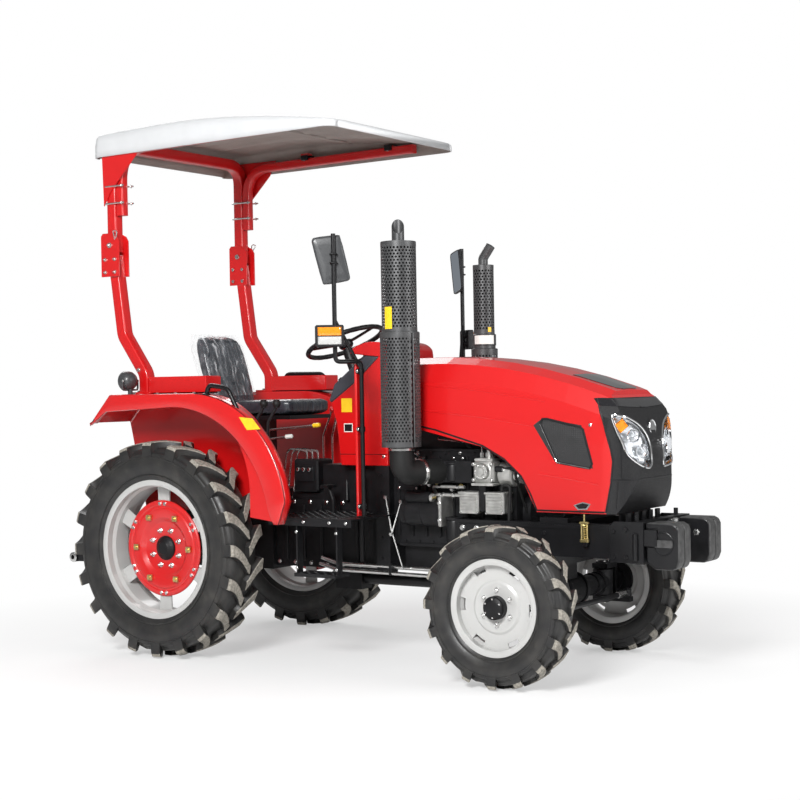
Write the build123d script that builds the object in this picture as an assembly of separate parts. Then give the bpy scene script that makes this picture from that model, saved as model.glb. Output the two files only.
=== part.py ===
from build123d import *
from math import cos, pi, radians, sin
import os

# Sizes in millimetres. x runs forward from the rear axle, y to the left and z up from the ground.

# Wheels
rear_track = 1160
rear_seat_r = 325
rear_section = 210
rear_tyre_width = 236
rear_lug_height = 28
rear_lug_count = 20
front_track = 1110
front_seat_r = 196
front_section = 159
front_tyre_width = 160
front_lug_height = 17
front_lug_count = 16
flange_height = 18
rim_wall = 8
rim_inset = 22
disc_wall = 10
rear_disc_r = 238
rear_disc_offset = 17
rear_dish_r = 130
rear_dish_depth = 22
rear_flange_r = 110
pilot_r = 60
rear_shaft_r = 38
rear_shaft_inner = 300
front_disc_offset = 12
front_flange_r = 95
front_pilot_r = 52
cut_out_r = 26
spindle_r = 25

# Clearances
running = 0.05
open_eye = 0.6
free = 6

# Lengthwise chain, from the seat to the front weights
cowl_rear = 725
cowl_long = 375
engine_lap = 20
engine_long = 680
axle_ahead = 140
nose_ahead = 497
carrier_ahead = 540
weight_long = 159
deck_long = 486
deck_ahead = 46
stack_ahead = 205
hood_gap = 25

# Driveline
housing_half = 150
housing_rear = -190
gearbox_half = 130
cover_half = 140
bell_long = 80
trumpet_end = 470
engine_half = 150
engine_low = 560
engine_high = 1010
sump_low = 430
manifold_out = 65
exhaust_y = -380
intake_y = 375
guard_low = 1036
guard_join = 1563
guard_top = 1981
guard_low_r = 92
guard_high_r = 82
outlet_r = 29
outlet_top = 2090
elbow_r = 58
elbow_z = 915
intake_low_r = 66
intake_high_r = 52
intake_top = 1915

# Front axle and steering
kingpin_r = 20
kingpin_inset = 125
barrel_r = 48
barrel_half = 60
knuckle_plate = 24
steering_arm = 130
tie_pin_r = 9
eye_r = 20
drive_y = 60
steer_x = 695
steer_z = 1542
steer_tilt = 22
steer_rim_r = 195
column_r = 28
column_low = -330
column_high = -40
wheel_shaft_r = 11

# Front frame and weights
rail_inner = 200
rail_wall = 40
rail_low = 548
rail_high = 697
shelf_wall = 23
saddle_high = 490
bar_low = 610
bar_high = 680
bar_deep = 60
weight_low = 509
weight_high = 710
weight_wall = 63
weight_inner = 102

# Hood and cowl
hood_half = 268
hood_top = 1452
hood_wall = 6
hood_corner = 150
hood_drop = 212
hood_low = 745
hinge_back = 13
hinge_drop = 12
hood_pin_r = 5
hinge_y = 165
cowl_half = 190
cowl_low = 935
cowl_high = 1535

# Platform, fenders and seat
deck_high = 709
deck_wall = 8
deck_half = 570
step_z = 432
step_long = 240
fender_top = 1300
fender_outer = 690
fender_inner = 400
fender_band = 50
fender_arc_x = 268
fender_arc_r = 572
house_arc_x = 110
house_arc_r = 480
lip_arc_x = 150
lip_arc_r = 594
lip_top = 1234
sheet = 6
beam_high = 1385
arm_r = 11
arm_high = 1435
mirror_top = 2020
mirror_turn = 51
seat_low = 1180
seat_high = 1270
seat_half = 200
seat_front = 476
back_top = 1600

# Roll bar and canopy
post_y = 500
post_half = 30
fold_x = -385
fold_z = 2062
fold_pin_r = 12
cheek_wall = 10
hoop_high = 2602
roof_low = 2515
roof_half = 546
roof_rear = -503
roof_front = 1030
roof_wall = 8

# Three-point hitch
link_x = -60
link_z = 430
link_reach = 800
link_spread = 150
link_eye_r = 26
link_y = 214
link_half = 18
ball_bore_r = 11.2
link_pin_r = 14
rod_pin_r = 12
rod_r = 13
arm_reach = 300
arm_wall = 24
lift_x = -110
lift_z = 862
lift_shaft_r = 22
top_link_x = -225
top_link_z = 750
top_link_bore_r = 9.65
drawbar_end = -420
drawbar_pin_r = 16
power_shaft_r = 17.5

# Places worked out from the sizes
rear_z = rear_seat_r + rear_section
axle_z = front_seat_r + front_section
rear_y = rear_track / 2
front_y = front_track / 2
kingpin_y = front_y - kingpin_inset
cowl_front = cowl_rear + cowl_long
engine_rear = cowl_front - engine_lap
engine_front = engine_rear + engine_long
bell_rear = engine_rear - bell_long
axle_x = engine_front + axle_ahead
hood_rear = cowl_front + hood_gap
hood_nose = axle_x + nose_ahead
hood_hinge_x = hood_rear - hinge_back
hood_hinge_z = hood_top - hinge_drop
carrier_front = axle_x + carrier_ahead
weight_front = carrier_front + weight_long
deck_front = engine_rear + deck_ahead
deck_rear = deck_front - deck_long
arm_x = deck_front - 25
stalk_x = arm_x - 56
stalk_y = deck_half - 12
stack_x = engine_rear + stack_ahead
housing_low = rear_z - 135
housing_high = rear_z + 265
rear_end = link_x - link_reach - link_eye_r
shift_x = -(weight_front + rear_end) / 2


# Making shapes

def block(x0, x1, y0, y1, z0, z1):
    """A box between two corners."""
    return Pos((x0 + x1) / 2, (y0 + y1) / 2, (z0 + z1) / 2) * Box(x1 - x0, y1 - y0, z1 - z0)


def rod(start, end, radius):
    """A round bar between two points."""
    path = Vector(*end) - Vector(*start)
    along = Plane(origin=start, z_dir=path)
    return along * Cylinder(radius, path.length, align=(Align.CENTER, Align.CENTER, Align.MIN))


def across(x, y0, y1, z, radius):
    """A round bar across the tractor."""
    return rod((x, y0, z), (x, y1, z), radius)


def upright(x, y, z0, z1, radius):
    """A standing round bar."""
    return rod((x, y, z0), (x, y, z1), radius)


def pipe(points, radius, bend):
    """An eight-sided tube along a bent line."""
    path = FilletPolyline(*points, radius=bend)
    return sweep(Plane(origin=path @ 0, z_dir=path % 0) * RegularPolygon(radius, 8), path=path)


def square_pipe(points, half, bend):
    """A square tube along a line bent in one plane."""
    path = FilletPolyline(*points, radius=bend)
    start = Plane(origin=path @ 0, x_dir=(0, 1, 0), z_dir=path % 0)
    return sweep(start * Rectangle(2 * half, 2 * half), path=path)


def polygon(*points):
    return make_face(Polyline(*points, close=True))


def side_plate(outline, y0, y1):
    """A plate with its outline in the side view."""
    return extrude(Plane.XZ.offset(-y1) * outline, amount=y1 - y0)


def faceted(sides, *section):
    """A ring of flat facets about the y axis, from points of (y, radius) round its section."""
    faces = []
    for i in range(sides):
        a = 2 * pi * i / sides
        b = 2 * pi * (i + 1) / sides
        for (y0, r0), (y1, r1) in zip(section, section[1:] + section[:1]):
            corners = [
                Vector(r0 * sin(a), y0, r0 * cos(a)),
                Vector(r0 * sin(b), y0, r0 * cos(b)),
                Vector(r1 * sin(b), y1, r1 * cos(b)),
                Vector(r1 * sin(a), y1, r1 * cos(a)),
            ]
            faces.append(Face(Wire.make_polygon(corners, close=True)))
    return Solid(Shell(faces))


def mirrored(shape):
    return mirror(shape, about=Plane.XZ)


def pair(shape):
    return [shape, mirrored(shape)]


def save(name, *solids):
    """Write one node, moved so that the part is centred over its length."""
    whole = Compound(children=[Pos(shift_x, 0, 0) * solid for solid in solids])
    whole.label = name
    export_step(whole, os.path.join("parts", name + ".step"))


# Wheels

def ring_sides(lug_count):
    """A tyre and its rim share this many facets."""
    return 3 * lug_count // 2


def lug(half, crown_r, height, wall):
    """One slanting tread bar, from beside the centre line down over the shoulder."""
    slant = radians(42)
    reach = (half - 1 - wall / 2 * sin(slant)) / cos(slant)
    outline = polygon(
        (0, crown_r - 10),
        (4, crown_r + height),
        (reach * 0.8, crown_r + height - 8),
        (reach - 3, crown_r - 38),
    )
    return Rot(0, 0, 42) * extrude(Plane.YZ * outline, amount=wall / 2, both=True)


def tyre(seat_r, section, width, lug_height, lug_count):
    """A tyre with chevron bars fused to its body."""
    half = width / 2
    crown_r = seat_r + section - lug_height
    bead = half - rim_inset - 8
    wall = [
        (bead, seat_r),
        (half, seat_r + section * 0.45),
        (half - 8, crown_r - 30),
        (half * 0.55, crown_r),
    ]
    body = faceted(ring_sides(lug_count), *wall, *[(-y, r) for y, r in reversed(wall)])
    bar = lug(half, crown_r, lug_height, 1.05 * (seat_r + section) / lug_count)
    bars = []
    for i in range(lug_count):
        turn = 360 * i / lug_count
        bars.append(Rot(0, turn, 0) * bar)
        bars.append(Rot(0, turn + 180 / lug_count, 0) * mirrored(bar))
    return body.fuse(*bars)


def rim(seat_r, width, lug_count):
    """A rim with a raised flange at each edge."""
    half = width / 2 - rim_inset
    bead = half - 7
    return faceted(
        ring_sides(lug_count),
        (-half, seat_r - rim_wall),
        (-half, seat_r + flange_height),
        (-bead, seat_r),
        (bead, seat_r),
        (half, seat_r + flange_height),
        (half, seat_r - rim_wall),
    )


def rear_rim():
    """The rim with six straps that the disc is bolted to."""
    ring = rim(rear_seat_r, rear_tyre_width, rear_lug_count)
    top = rear_seat_r - rim_wall + 1
    strap = block(-45, 45, rear_disc_offset - 12, rear_disc_offset, rear_disc_r - 40, top)
    return ring.fuse(*[Rot(0, 60 * i, 0) * strap for i in range(6)])


def rear_disc():
    """The dished wheel centre."""
    back = rear_disc_offset
    deep = back - rear_dish_depth
    edge = rear_dish_r + 28
    return faceted(
        ring_sides(rear_lug_count),
        (deep, pilot_r),
        (deep, rear_dish_r),
        (back, edge),
        (back, rear_disc_r),
        (back + disc_wall, rear_disc_r),
        (back + disc_wall, edge + 6),
        (deep + disc_wall, rear_dish_r - 2),
        (deep + disc_wall, pilot_r),
    )


def rear_hub():
    """The axle shaft, its flange behind the disc and the pilot through it."""
    seat = rear_disc_offset - rear_dish_depth
    shaft = across(0, rear_shaft_inner - rear_y, seat + 26, 0, rear_shaft_r)
    flange = across(0, seat - 14, seat, 0, rear_flange_r)
    pilot = across(0, seat - 2, seat + 16, 0, pilot_r * cos(pi / ring_sides(rear_lug_count)))
    return shaft + flange + pilot


def front_rim():
    """The rim with its disc, which has six gaps round its edge."""
    ring = rim(front_seat_r, front_tyre_width, front_lug_count)
    out = front_disc_offset + disc_wall
    sides = ring_sides(front_lug_count)
    outer = front_seat_r - rim_wall + 1
    disc = faceted(
        sides,
        (front_disc_offset, front_pilot_r),
        (front_disc_offset, outer),
        (out, outer),
        (out, front_pilot_r),
    )
    gap = Pos(0, 0, outer - cut_out_r) * Box(2 * cut_out_r, front_tyre_width, cut_out_r)
    gaps = [Rot(0, 60 * i + 30, 0) * gap for i in range(6)]
    return ring.fuse(disc - gaps)


def front_hub():
    """The hub that turns on the spindle, with its flange behind the disc and its cap."""
    inner = front_disc_offset - 47
    cap = front_disc_offset + 40
    barrel = across(0, inner, front_disc_offset, 0, 58)
    flange = across(0, front_disc_offset - 14, front_disc_offset, 0, front_flange_r)
    pilot = across(0, front_disc_offset - 2, cap, 0, front_pilot_r * cos(pi / ring_sides(front_lug_count)))
    bore = across(0, inner - 1, cap - free, 0, spindle_r + running)
    return barrel + flange + pilot - bore


def wheels():
    rear_place = Pos(0, rear_y, rear_z)
    front_place = Pos(axle_x, front_y, axle_z)
    rear_tyre = tyre(rear_seat_r, rear_section, rear_tyre_width, rear_lug_height, rear_lug_count)
    front_tyre = tyre(front_seat_r, front_section, front_tyre_width, front_lug_height, front_lug_count)
    pieces = {
        "rear_tyre": rear_place * rear_tyre,
        "rear_rim": rear_place * rear_rim(),
        "rear_disc": rear_place * rear_disc(),
        "rear_hub": rear_place * rear_hub(),
        "front_tyre": front_place * front_tyre,
        "front_rim": front_place * front_rim(),
        "front_hub": front_place * front_hub(),
    }
    for name, left in pieces.items():
        save(name + "_left", left)
        save(name + "_right", mirrored(left))


# Front axle and steering

def front_axle():
    """The driven front axle between its two kingpin barrels."""
    tube = across(axle_x, -kingpin_y, kingpin_y, axle_z, 46)
    centre = across(axle_x, drive_y - 75, drive_y + 75, axle_z, 70)
    pad = block(axle_x - 40, axle_x + 40, -90, 90, axle_z, axle_z + 75)
    pinion = rod((axle_x, drive_y, axle_z), (axle_x - 160, drive_y, axle_z), 52)
    beam = tube + centre + pad + pinion
    for y in (-kingpin_y, kingpin_y):
        beam = beam + upright(axle_x, y, axle_z - barrel_half, axle_z + barrel_half, barrel_r)
        beam = beam - upright(axle_x, y, axle_z - 90, axle_z + 90, kingpin_r + running)
    return beam


def knuckle():
    """The left knuckle: two plates on the kingpin, the spindle and the steering arm."""
    low = axle_z - barrel_half - free
    high = axle_z + barrel_half + free
    web_y = kingpin_y + barrel_r + free
    outer = web_y + 22
    tip_x = axle_x + steering_arm
    pin = upright(axle_x, kingpin_y, low - knuckle_plate, high + knuckle_plate, kingpin_r)
    web = block(axle_x - 40, axle_x + 40, web_y, outer, low - knuckle_plate, high + knuckle_plate)
    top = block(axle_x - 40, axle_x + 40, kingpin_y - 34, outer, high, high + knuckle_plate)
    bottom = block(axle_x - 40, axle_x + 40, kingpin_y - 34, outer, low - knuckle_plate, low)
    arm = block(axle_x, tip_x + eye_r, kingpin_y - eye_r, kingpin_y + eye_r, low - knuckle_plate, low)
    spindle = across(axle_x, web_y, front_y + front_disc_offset + 28, axle_z, spindle_r)
    tie_pin = upright(tip_x, kingpin_y, low - knuckle_plate, low + 40, tie_pin_r)
    return pin + web + top + bottom + arm + spindle + tie_pin


def tie_rod():
    """The rod between the two steering arms, open round the right pin."""
    tip_x = axle_x + steering_arm
    low = axle_z - barrel_half - free + 2
    bar = across(tip_x, -kingpin_y, kingpin_y, low + 16, rod_r)
    for y, gap in ((kingpin_y, running), (-kingpin_y, open_eye)):
        bar = bar + upright(tip_x, y, low, low + 32, eye_r)
        bar = bar - upright(tip_x, y, low - 1, low + 33, tie_pin_r + gap)
    return bar


def along_column(height):
    """A point on the steering column's line, up or down from the wheel's centre."""
    tilt = radians(steer_tilt)
    return (steer_x - height * sin(tilt), 0, steer_z + height * cos(tilt))


def column_room():
    """The space that the column takes in the cowl and the dash."""
    return rod(along_column(column_low), along_column(0), column_r)


def steering_column():
    tube = rod(along_column(column_low), along_column(column_high), column_r)
    bore = rod(along_column(column_high - 60), along_column(column_high + 1), wheel_shaft_r + running)
    return tube - bore


def steering_wheel():
    """The rim, three spokes, the hub and the shaft that turns in the column."""
    grip = 13
    ring = [(grip * sin(pi * k / 3), steer_rim_r + grip * cos(pi * k / 3)) for k in range(6)]
    wheel = faceted(32, *ring)
    for turn in (0, 120, 240):
        wheel = wheel.fuse(Rot(0, turn, 0) * Pos(0, 0, steer_rim_r / 2) * Box(26, 10, steer_rim_r))
    rise = Vector(*along_column(1)) - Vector(*along_column(0))
    flat = Plane(origin=along_column(0), x_dir=(0, 1, 0), z_dir=rise)
    hub = rod(along_column(column_high + 8), along_column(8), 38)
    shaft = rod(along_column(column_high - 58), along_column(column_high + 8), wheel_shaft_r)
    return flat * Rot(90, 0, 0) * wheel + hub + shaft


# Driveline

def transmission():
    """The rear housing, the gearbox, the bell housing, the lift cover and the transfer case."""
    rear = block(housing_rear, 330, -housing_half, housing_half, housing_low, housing_high)
    gearbox = block(330, bell_rear, -gearbox_half, gearbox_half, housing_low + 20, housing_high - 40)
    tunnel = block(deck_rear, bell_rear, -gearbox_half, gearbox_half, housing_high - 40, cowl_low)
    bell = block(bell_rear, engine_rear, -cowl_half, cowl_half, sump_low, cowl_low)
    cover = block(housing_rear, 150, -cover_half, cover_half, housing_high, lift_z + 38)
    transfer = block(600, 760, drive_y - 45, drive_y + 45, axle_z - 55, housing_low + 20)
    lift_bore = across(lift_x, -cover_half - 1, cover_half + 1, lift_z, lift_shaft_r + running)
    return rear + gearbox + tunnel + bell + cover + transfer - lift_bore


def rear_axle():
    """The left axle trumpet, with the stand that carries the fender."""
    tube = across(0, housing_half, trumpet_end, rear_z, 78)
    end = across(0, trumpet_end - 30, trumpet_end, rear_z, 95)
    stand = block(-70, 70, fender_inner - 50, fender_inner + sheet, rear_z + 60, deck_high)
    bore = across(0, rear_shaft_inner - 2, trumpet_end + 1, rear_z, rear_shaft_r + running)
    return tube + end + stand - bore


def hitch_frame():
    """The lower links' pins, the top link's bracket, the drawbar and the power take-off."""
    boss = across(link_x, housing_half, link_y - link_half - free, link_z, 34)
    pin = across(link_x, housing_half, link_y + link_half + 10, link_z, link_pin_r)
    back = top_link_x - 25
    outline = polygon(
        (housing_rear, top_link_z - 60),
        (housing_rear, top_link_z + 50),
        (back, top_link_z + 25),
        (back, top_link_z - 25),
    )
    ear = side_plate(outline, 25, 38) - across(top_link_x, 0, 60, top_link_z, top_link_bore_r)
    hanger = block(housing_rear, link_x, -60, 60, housing_low - 45, housing_low)
    drawbar = block(drawbar_end, link_x, -35, 35, housing_low - 70, housing_low - 45)
    drawbar = drawbar - upright(drawbar_end + 35, 0, housing_low - 80, housing_low, drawbar_pin_r)
    power_shaft = rod((housing_rear, 0, rear_z + 25), (housing_rear - 85, 0, rear_z + 25), power_shaft_r)
    return pair(boss + pin) + pair(ear) + [hanger + drawbar, power_shaft]


def engine_block():
    """The engine, plain inside, with its sump, head, manifolds, starter and pulley."""
    crankcase = block(engine_rear, engine_front, -engine_half, engine_half, engine_low, engine_high)
    foot = block(engine_front - 280, engine_front, -rail_inner, rail_inner, engine_low, engine_low + 80)
    sump = block(engine_rear + 40, engine_front - 40, -120, 120, sump_low, engine_low)
    head = block(engine_rear + 20, engine_front - 20, -110, 110, engine_high, engine_high + 100)
    rockers = block(engine_rear + 60, engine_front - 60, -80, 80, engine_high + 100, engine_high + 175)
    rockers = chamfer(rockers.edges().filter_by(Axis.X).group_by(Axis.Z)[-1], 24)
    side = engine_half + manifold_out
    manifold = block(stack_x + 20, stack_x + 275, -side, side, elbow_z - 50, elbow_z + 50)
    starter = rod((engine_rear + 105, -205, 720), (engine_rear + 325, -205, 720), 62)
    pulley = rod((engine_front, 0, 720), (engine_front + 40, 0, 720), 95)
    return crankcase + foot + sump + head + rockers + manifold + starter + pulley


def engine_pumps():
    """The bright pump group on the engine's right side: two bodies, the link between and the pump above."""
    rear = engine_front - 260
    low = rail_high + 27
    out = -engine_half - 90
    rear_body = block(rear, rear + 105, out, -engine_half, low, low + 98)
    front_body = block(rear + 140, rear + 240, out, -engine_half, low, low + 100)
    link = block(rear + 105, rear + 140, out + 20, -engine_half, low + 10, low + 130)
    upper = block(rear + 75, rear + 185, out, -engine_half, low + 130, low + 255)
    cover = rod((rear + 130, out, low + 195), (rear + 130, out - 18, low + 195), 38)
    return rear_body + front_body + link + upper + cover


def drive_shaft():
    return rod((760, drive_y, axle_z), (axle_x - 160, drive_y, axle_z), 30)


def front_frame():
    """Two rails with the axle bracket, the radiator shelf and the front weight carrier."""
    outer = rail_inner + rail_wall
    rear = carrier_front - 40
    rail = block(engine_front - 280, rear, rail_inner, outer, rail_low, rail_high)
    shelf = block(axle_x + 30, axle_x + 170, -outer, outer, rail_high, rail_high + shelf_wall)
    bracket = block(axle_x - 70, axle_x + 70, -rail_inner, rail_inner, saddle_high, rail_low + 30)
    saddle = block(axle_x - 40, axle_x + 40, -90, 90, axle_z + 75, saddle_high)
    plate = block(rear, carrier_front, -outer, outer, bar_low - 80, bar_high + 35)
    bar = block(carrier_front, carrier_front + bar_deep, -outer, outer, bar_low, bar_high)
    return rail + mirrored(rail) + shelf + bracket + saddle + plate + bar


def front_weights():
    """Two slotted plates each side, hung on the carrier's bar."""
    rear = carrier_front + free
    outline = polygon(
        (rear, weight_low + 30),
        (rear + 40, weight_low),
        (weight_front - 25, weight_low),
        (weight_front, weight_low + 40),
        (weight_front, weight_high - 25),
        (weight_front - 25, weight_high),
        (rear, weight_high),
    )
    slot = block(rear - 1, carrier_front + bar_deep, -400, 400, bar_low, bar_high)
    plates = []
    for i in range(2):
        inner = weight_inner + i * (weight_wall + 4)
        plates += pair(side_plate(outline, inner, inner + weight_wall) - slot)
    return plates


def radiator():
    """The core, the shroud behind it and the fan's hub."""
    low = rail_high + shelf_wall
    core = block(axle_x + 60, axle_x + 140, -225, 225, low, low + 450)
    shroud = block(axle_x, axle_x + 60, -190, 190, low + 40, low + 420)
    fan = rod((engine_front + 60, 0, low + 220), (axle_x, 0, low + 220), 40)
    return core + shroud + fan


def elbow(y, radius, engine):
    """A bent pipe from the foot of a stack into the manifold."""
    turn = 1 if y < 0 else -1
    points = [(stack_x, y, guard_low), (stack_x, y, elbow_z), (stack_x + 90, y + turn * 190, elbow_z)]
    return pipe(points, radius, 80) - engine


def exhaust_stack(engine):
    """The guarded silencer, its slash-cut outlet and the elbow into the manifold."""
    lower = upright(stack_x, exhaust_y, guard_low, guard_join, guard_low_r)
    upper = upright(stack_x, exhaust_y, guard_join, guard_top, guard_high_r)
    outlet = upright(stack_x, exhaust_y, guard_top, outlet_top, outlet_r)
    slash = Pos(20, 0, 0) * Rot(0, 50, 0) * Box(160, 160, 60)
    slash = Pos(stack_x, exhaust_y, outlet_top + 12) * Rot(0, 0, -56) * slash
    return lower + upper + (outlet - slash) + elbow(exhaust_y, elbow_r, engine)


def intake_stack(engine):
    """The air intake on the left, narrower, with a bent top."""
    join = guard_join - 63
    lower = upright(stack_x, intake_y, guard_low, join, intake_low_r)
    upper = upright(stack_x, intake_y, join, intake_top, intake_high_r)
    tip = pipe(
        [
            (stack_x, intake_y, intake_top - 10),
            (stack_x, intake_y, intake_top + 40),
            (stack_x + 45, intake_y, intake_top + 95),
        ],
        24,
        30,
    )
    return lower + upper + tip + elbow(intake_y, 44, engine)


# Hood

def hood_line(x):
    """The height of the hood's top along its length: level, then falling ever faster to the nose."""
    level_end = hood_rear + 275
    fall = max(0, x - level_end) / (hood_nose - level_end)
    return hood_top - hood_drop * fall ** 1.9


def hood_section(x, inset):
    """The hood across its width, with two creases down each side."""
    top = hood_line(x) - inset
    half = hood_half - inset
    side = [
        (half, hood_low - 60),
        (half, top - 255),
        (half - 7, top - 118),
        (half - 42, top - 34),
        (half - 105, top - 5),
    ]
    outline = polygon(*side, (0, top), *[(-y, z) for y, z in reversed(side)])
    return Plane.YZ.offset(x) * outline


def hood_form(inset):
    """The hood's full outer form, or the same form drawn in by an inset."""
    nose = hood_nose - inset
    stations = 9
    step = (hood_nose - hood_rear) / (stations - 1)
    body = loft([hood_section(hood_rear + step * i, inset) for i in range(stations)], ruled=True)
    long = nose - hood_rear + 10
    plan = Pos(nose - long / 2, 0) * Rectangle(long, 2 * (hood_half - inset))
    plan = fillet(plan.vertices().group_by(Axis.X)[-1], hood_corner)
    front = ThreePointArc((nose - 120, hood_top - 190), (nose, 985), (nose - 105, hood_low - 30))
    rear = hood_rear - 10
    behind = Polyline(front @ 1, (rear, hood_low - 30), (rear, hood_top), (nose - 120, hood_top), front @ 0)
    from_above = extrude(Pos(0, 0, hood_low - 40) * plan, amount=900)
    return body & from_above & side_plate(make_face(front + behind), -400, 400)


def hood_opening():
    """What is left open below the hood's sides."""
    outline = polygon(
        (hood_rear - 20, hood_low + 415),
        (axle_x - 246, hood_low + 289),
        (axle_x - 134, hood_low + 230),
        (axle_x - 46, hood_low + 153),
        (axle_x + 32, hood_low),
        (hood_nose + 20, hood_low),
        (hood_nose + 20, hood_low - 100),
        (hood_rear - 20, hood_low - 100),
    )
    return side_plate(outline, -400, 400)


def nose_region():
    """The black nose's share of the hood, in the side view."""
    outline = polygon(
        (axle_x + 333, hood_low + 505),
        (axle_x + 407, hood_low + 233),
        (axle_x + 369, hood_low - 40),
        (hood_nose + 20, hood_low - 40),
        (hood_nose + 20, hood_low + 505),
    )
    return side_plate(outline, -400, 400)


def mesh_region():
    """The side mesh windows, in the side view."""
    outline = polygon(
        (axle_x + 21, hood_low + 387),
        (axle_x + 66, hood_low + 418),
        (axle_x + 260, hood_low + 387),
        (axle_x + 316, hood_low + 197),
        (axle_x + 128, hood_low + 224),
    )
    return side_plate(outline, -400, 400)


def lamp_region():
    """The left headlamp, seen from the front."""
    low = hood_low + 187
    outline = polygon(
        (256, low + 242),
        (212, low + 227),
        (139, low + 193),
        (90, low + 139),
        (74, low + 63),
        (82, low + 11),
        (163, low + 20),
        (222, low + 65),
        (240, low + 123),
        (252, low + 176),
    )
    return extrude(Plane.YZ.offset(axle_x + 300) * outline, amount=nose_ahead)


def hood_lug():
    """The left hinge lug under the hood's rear edge."""
    inner = hinge_y + 3
    eye = across(hood_hinge_x, inner, inner + 14, hood_hinge_z, 9)
    under_hood = hood_top - hood_wall - 2
    tongue = block(hood_hinge_x, hood_rear + 30, inner - 12, inner + 14, hood_hinge_z - 8, under_hood)
    tongue = tongue - block(hood_hinge_x - 1, hood_rear - 2, inner - 13, inner, hood_hinge_z - 20, hood_top)
    return eye + tongue - across(hood_hinge_x, 100, 250, hood_hinge_z, hood_pin_r + running)


def hood_parts():
    """The red shell with its hinge lugs, the black nose, the lamps set in it and the side mesh."""
    outer = hood_form(0)
    whole = outer - hood_form(hood_wall) - hood_opening()
    nose = nose_region()
    lamp_room = lamp_region()
    mesh_room = mesh_region()
    shell = whole - nose - mesh_room
    for lug_solid in pair(hood_lug()):
        shell = shell + (lug_solid & outer.fuse(block(hood_hinge_x - 20, hood_rear, -400, 400, 1000, 2000)))
    nose_skin = whole & nose
    mask = nose_skin - lamp_room - mirrored(lamp_room)
    return shell, mask, nose_skin & lamp_room, whole & mesh_room & block(0, hood_nose, 0, 400, 0, 2000)


# Cowl and platform

def cowl_face():
    """The line on which the instrument panel lies, from its low edge up under the console's hump."""
    return [
        (cowl_rear + 15, cowl_low + 306),
        (cowl_rear + 169, cowl_low + 409),
        (cowl_rear + 304, cowl_high - 75),
        (cowl_rear + 224, cowl_high - 66),
    ]


def cowl():
    """The red console, a strip beside each mirror's tube and the hood's hinge ears."""
    outline = polygon(
        (cowl_rear + 71, cowl_low),
        (cowl_rear + 49, cowl_low + 203),
        *cowl_face(),
        (cowl_rear + 135, cowl_high - 56),
        (cowl_rear + 240, cowl_high),
        (cowl_front - 50, cowl_high - 5),
        (cowl_front, cowl_high - 50),
        (cowl_front, cowl_low),
    )
    body = side_plate(outline, -cowl_half, cowl_half)
    side = cowl_half + 1
    engine_room = block(engine_rear - free, cowl_front + 1, -side, side, 600, engine_high + 110)
    body = body - engine_room - column_room()
    ear = block(cowl_front, hood_hinge_x, hinge_y - 15, hinge_y, hood_hinge_z - 8, hood_hinge_z + 8)
    ear = ear + across(hood_hinge_x, hinge_y - 15, hinge_y, hood_hinge_z, 8)
    ear = ear + across(hood_hinge_x, hinge_y - 5, hinge_y + 21, hood_hinge_z, hood_pin_r)
    strip = block(arm_x - 34, arm_x - 20, deck_half - 160, deck_half - 125, deck_high, arm_high - 10)
    return [body + ear + mirrored(ear)] + pair(strip)


def dash():
    """The black instrument panel that the column comes through."""
    outline = polygon(
        *cowl_face(),
        (cowl_rear + 162, cowl_high - 108),
        (cowl_rear + 35, cowl_low + 397),
        (cowl_rear + 2, cowl_low + 318),
    )
    return side_plate(outline, -cowl_half, cowl_half) - column_room()


def footplates():
    """The left footplate, with a step hung on two flat bars."""
    low = deck_high - deck_wall
    plate = block(deck_rear, deck_front, gearbox_half + 5, deck_half, low, deck_high)
    plate = plate - block(bell_rear - 1, deck_front + 1, 0, cowl_half, low - 1, deck_high + 1)
    lip = block(deck_rear, deck_front, deck_half - deck_wall, deck_half, low - 30, low)
    step_front = deck_front - 96
    step_rear = step_front - step_long
    tread = block(step_rear, step_front, deck_half - 120, deck_half, step_z, step_z + 16)
    side = plate + lip + tread
    for x in (step_rear, step_front - 8):
        side = side + block(x, x + 8, deck_half - 60, deck_half - 20, step_z, low)
    return side


def fender_face(arc_x, arc_r, angle, foot):
    """The space under a fender's top line: sloping up, level, then an arc down to its foot."""
    level = Polyline((-401, fender_top - 141), (-266, fender_top), (arc_x, fender_top))
    turn = radians(angle)
    end = (arc_x + arc_r * sin(turn), fender_top - arc_r * (1 - cos(turn)))
    arc = TangentArc((arc_x, fender_top), end, tangent=(1, 0))
    return make_face(level + arc + Polyline(end, *foot, (-300, deck_high), (-401, fender_top - 141)))


def band_face():
    """The outer band's outline, which reaches down beside the footplate."""
    return fender_face(fender_arc_x, fender_arc_r, 84, [(796, 684), (764, 684), (700, 684)])


def house_face():
    """The wheel house's outline, which stands on the footplate."""
    return fender_face(house_arc_x, house_arc_r, 90, [(house_arc_x + house_arc_r, deck_high)])


def arch_face():
    """The wheel's opening below the fender's outer lip."""
    turn = radians(80)
    end = (lip_arc_x + lip_arc_r * sin(turn), lip_top - lip_arc_r * (1 - cos(turn)))
    lip = TangentArc((lip_arc_x, lip_top), end, tangent=(1, 0))
    low = 600
    rear = -420
    rest = Polyline(
        end,
        (764, 684),
        (764, low),
        (rear, low),
        (rear, fender_top - 150),
        (-296, lip_top - 20),
        (lip_arc_x, lip_top),
    )
    return make_face(lip + rest)


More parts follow.
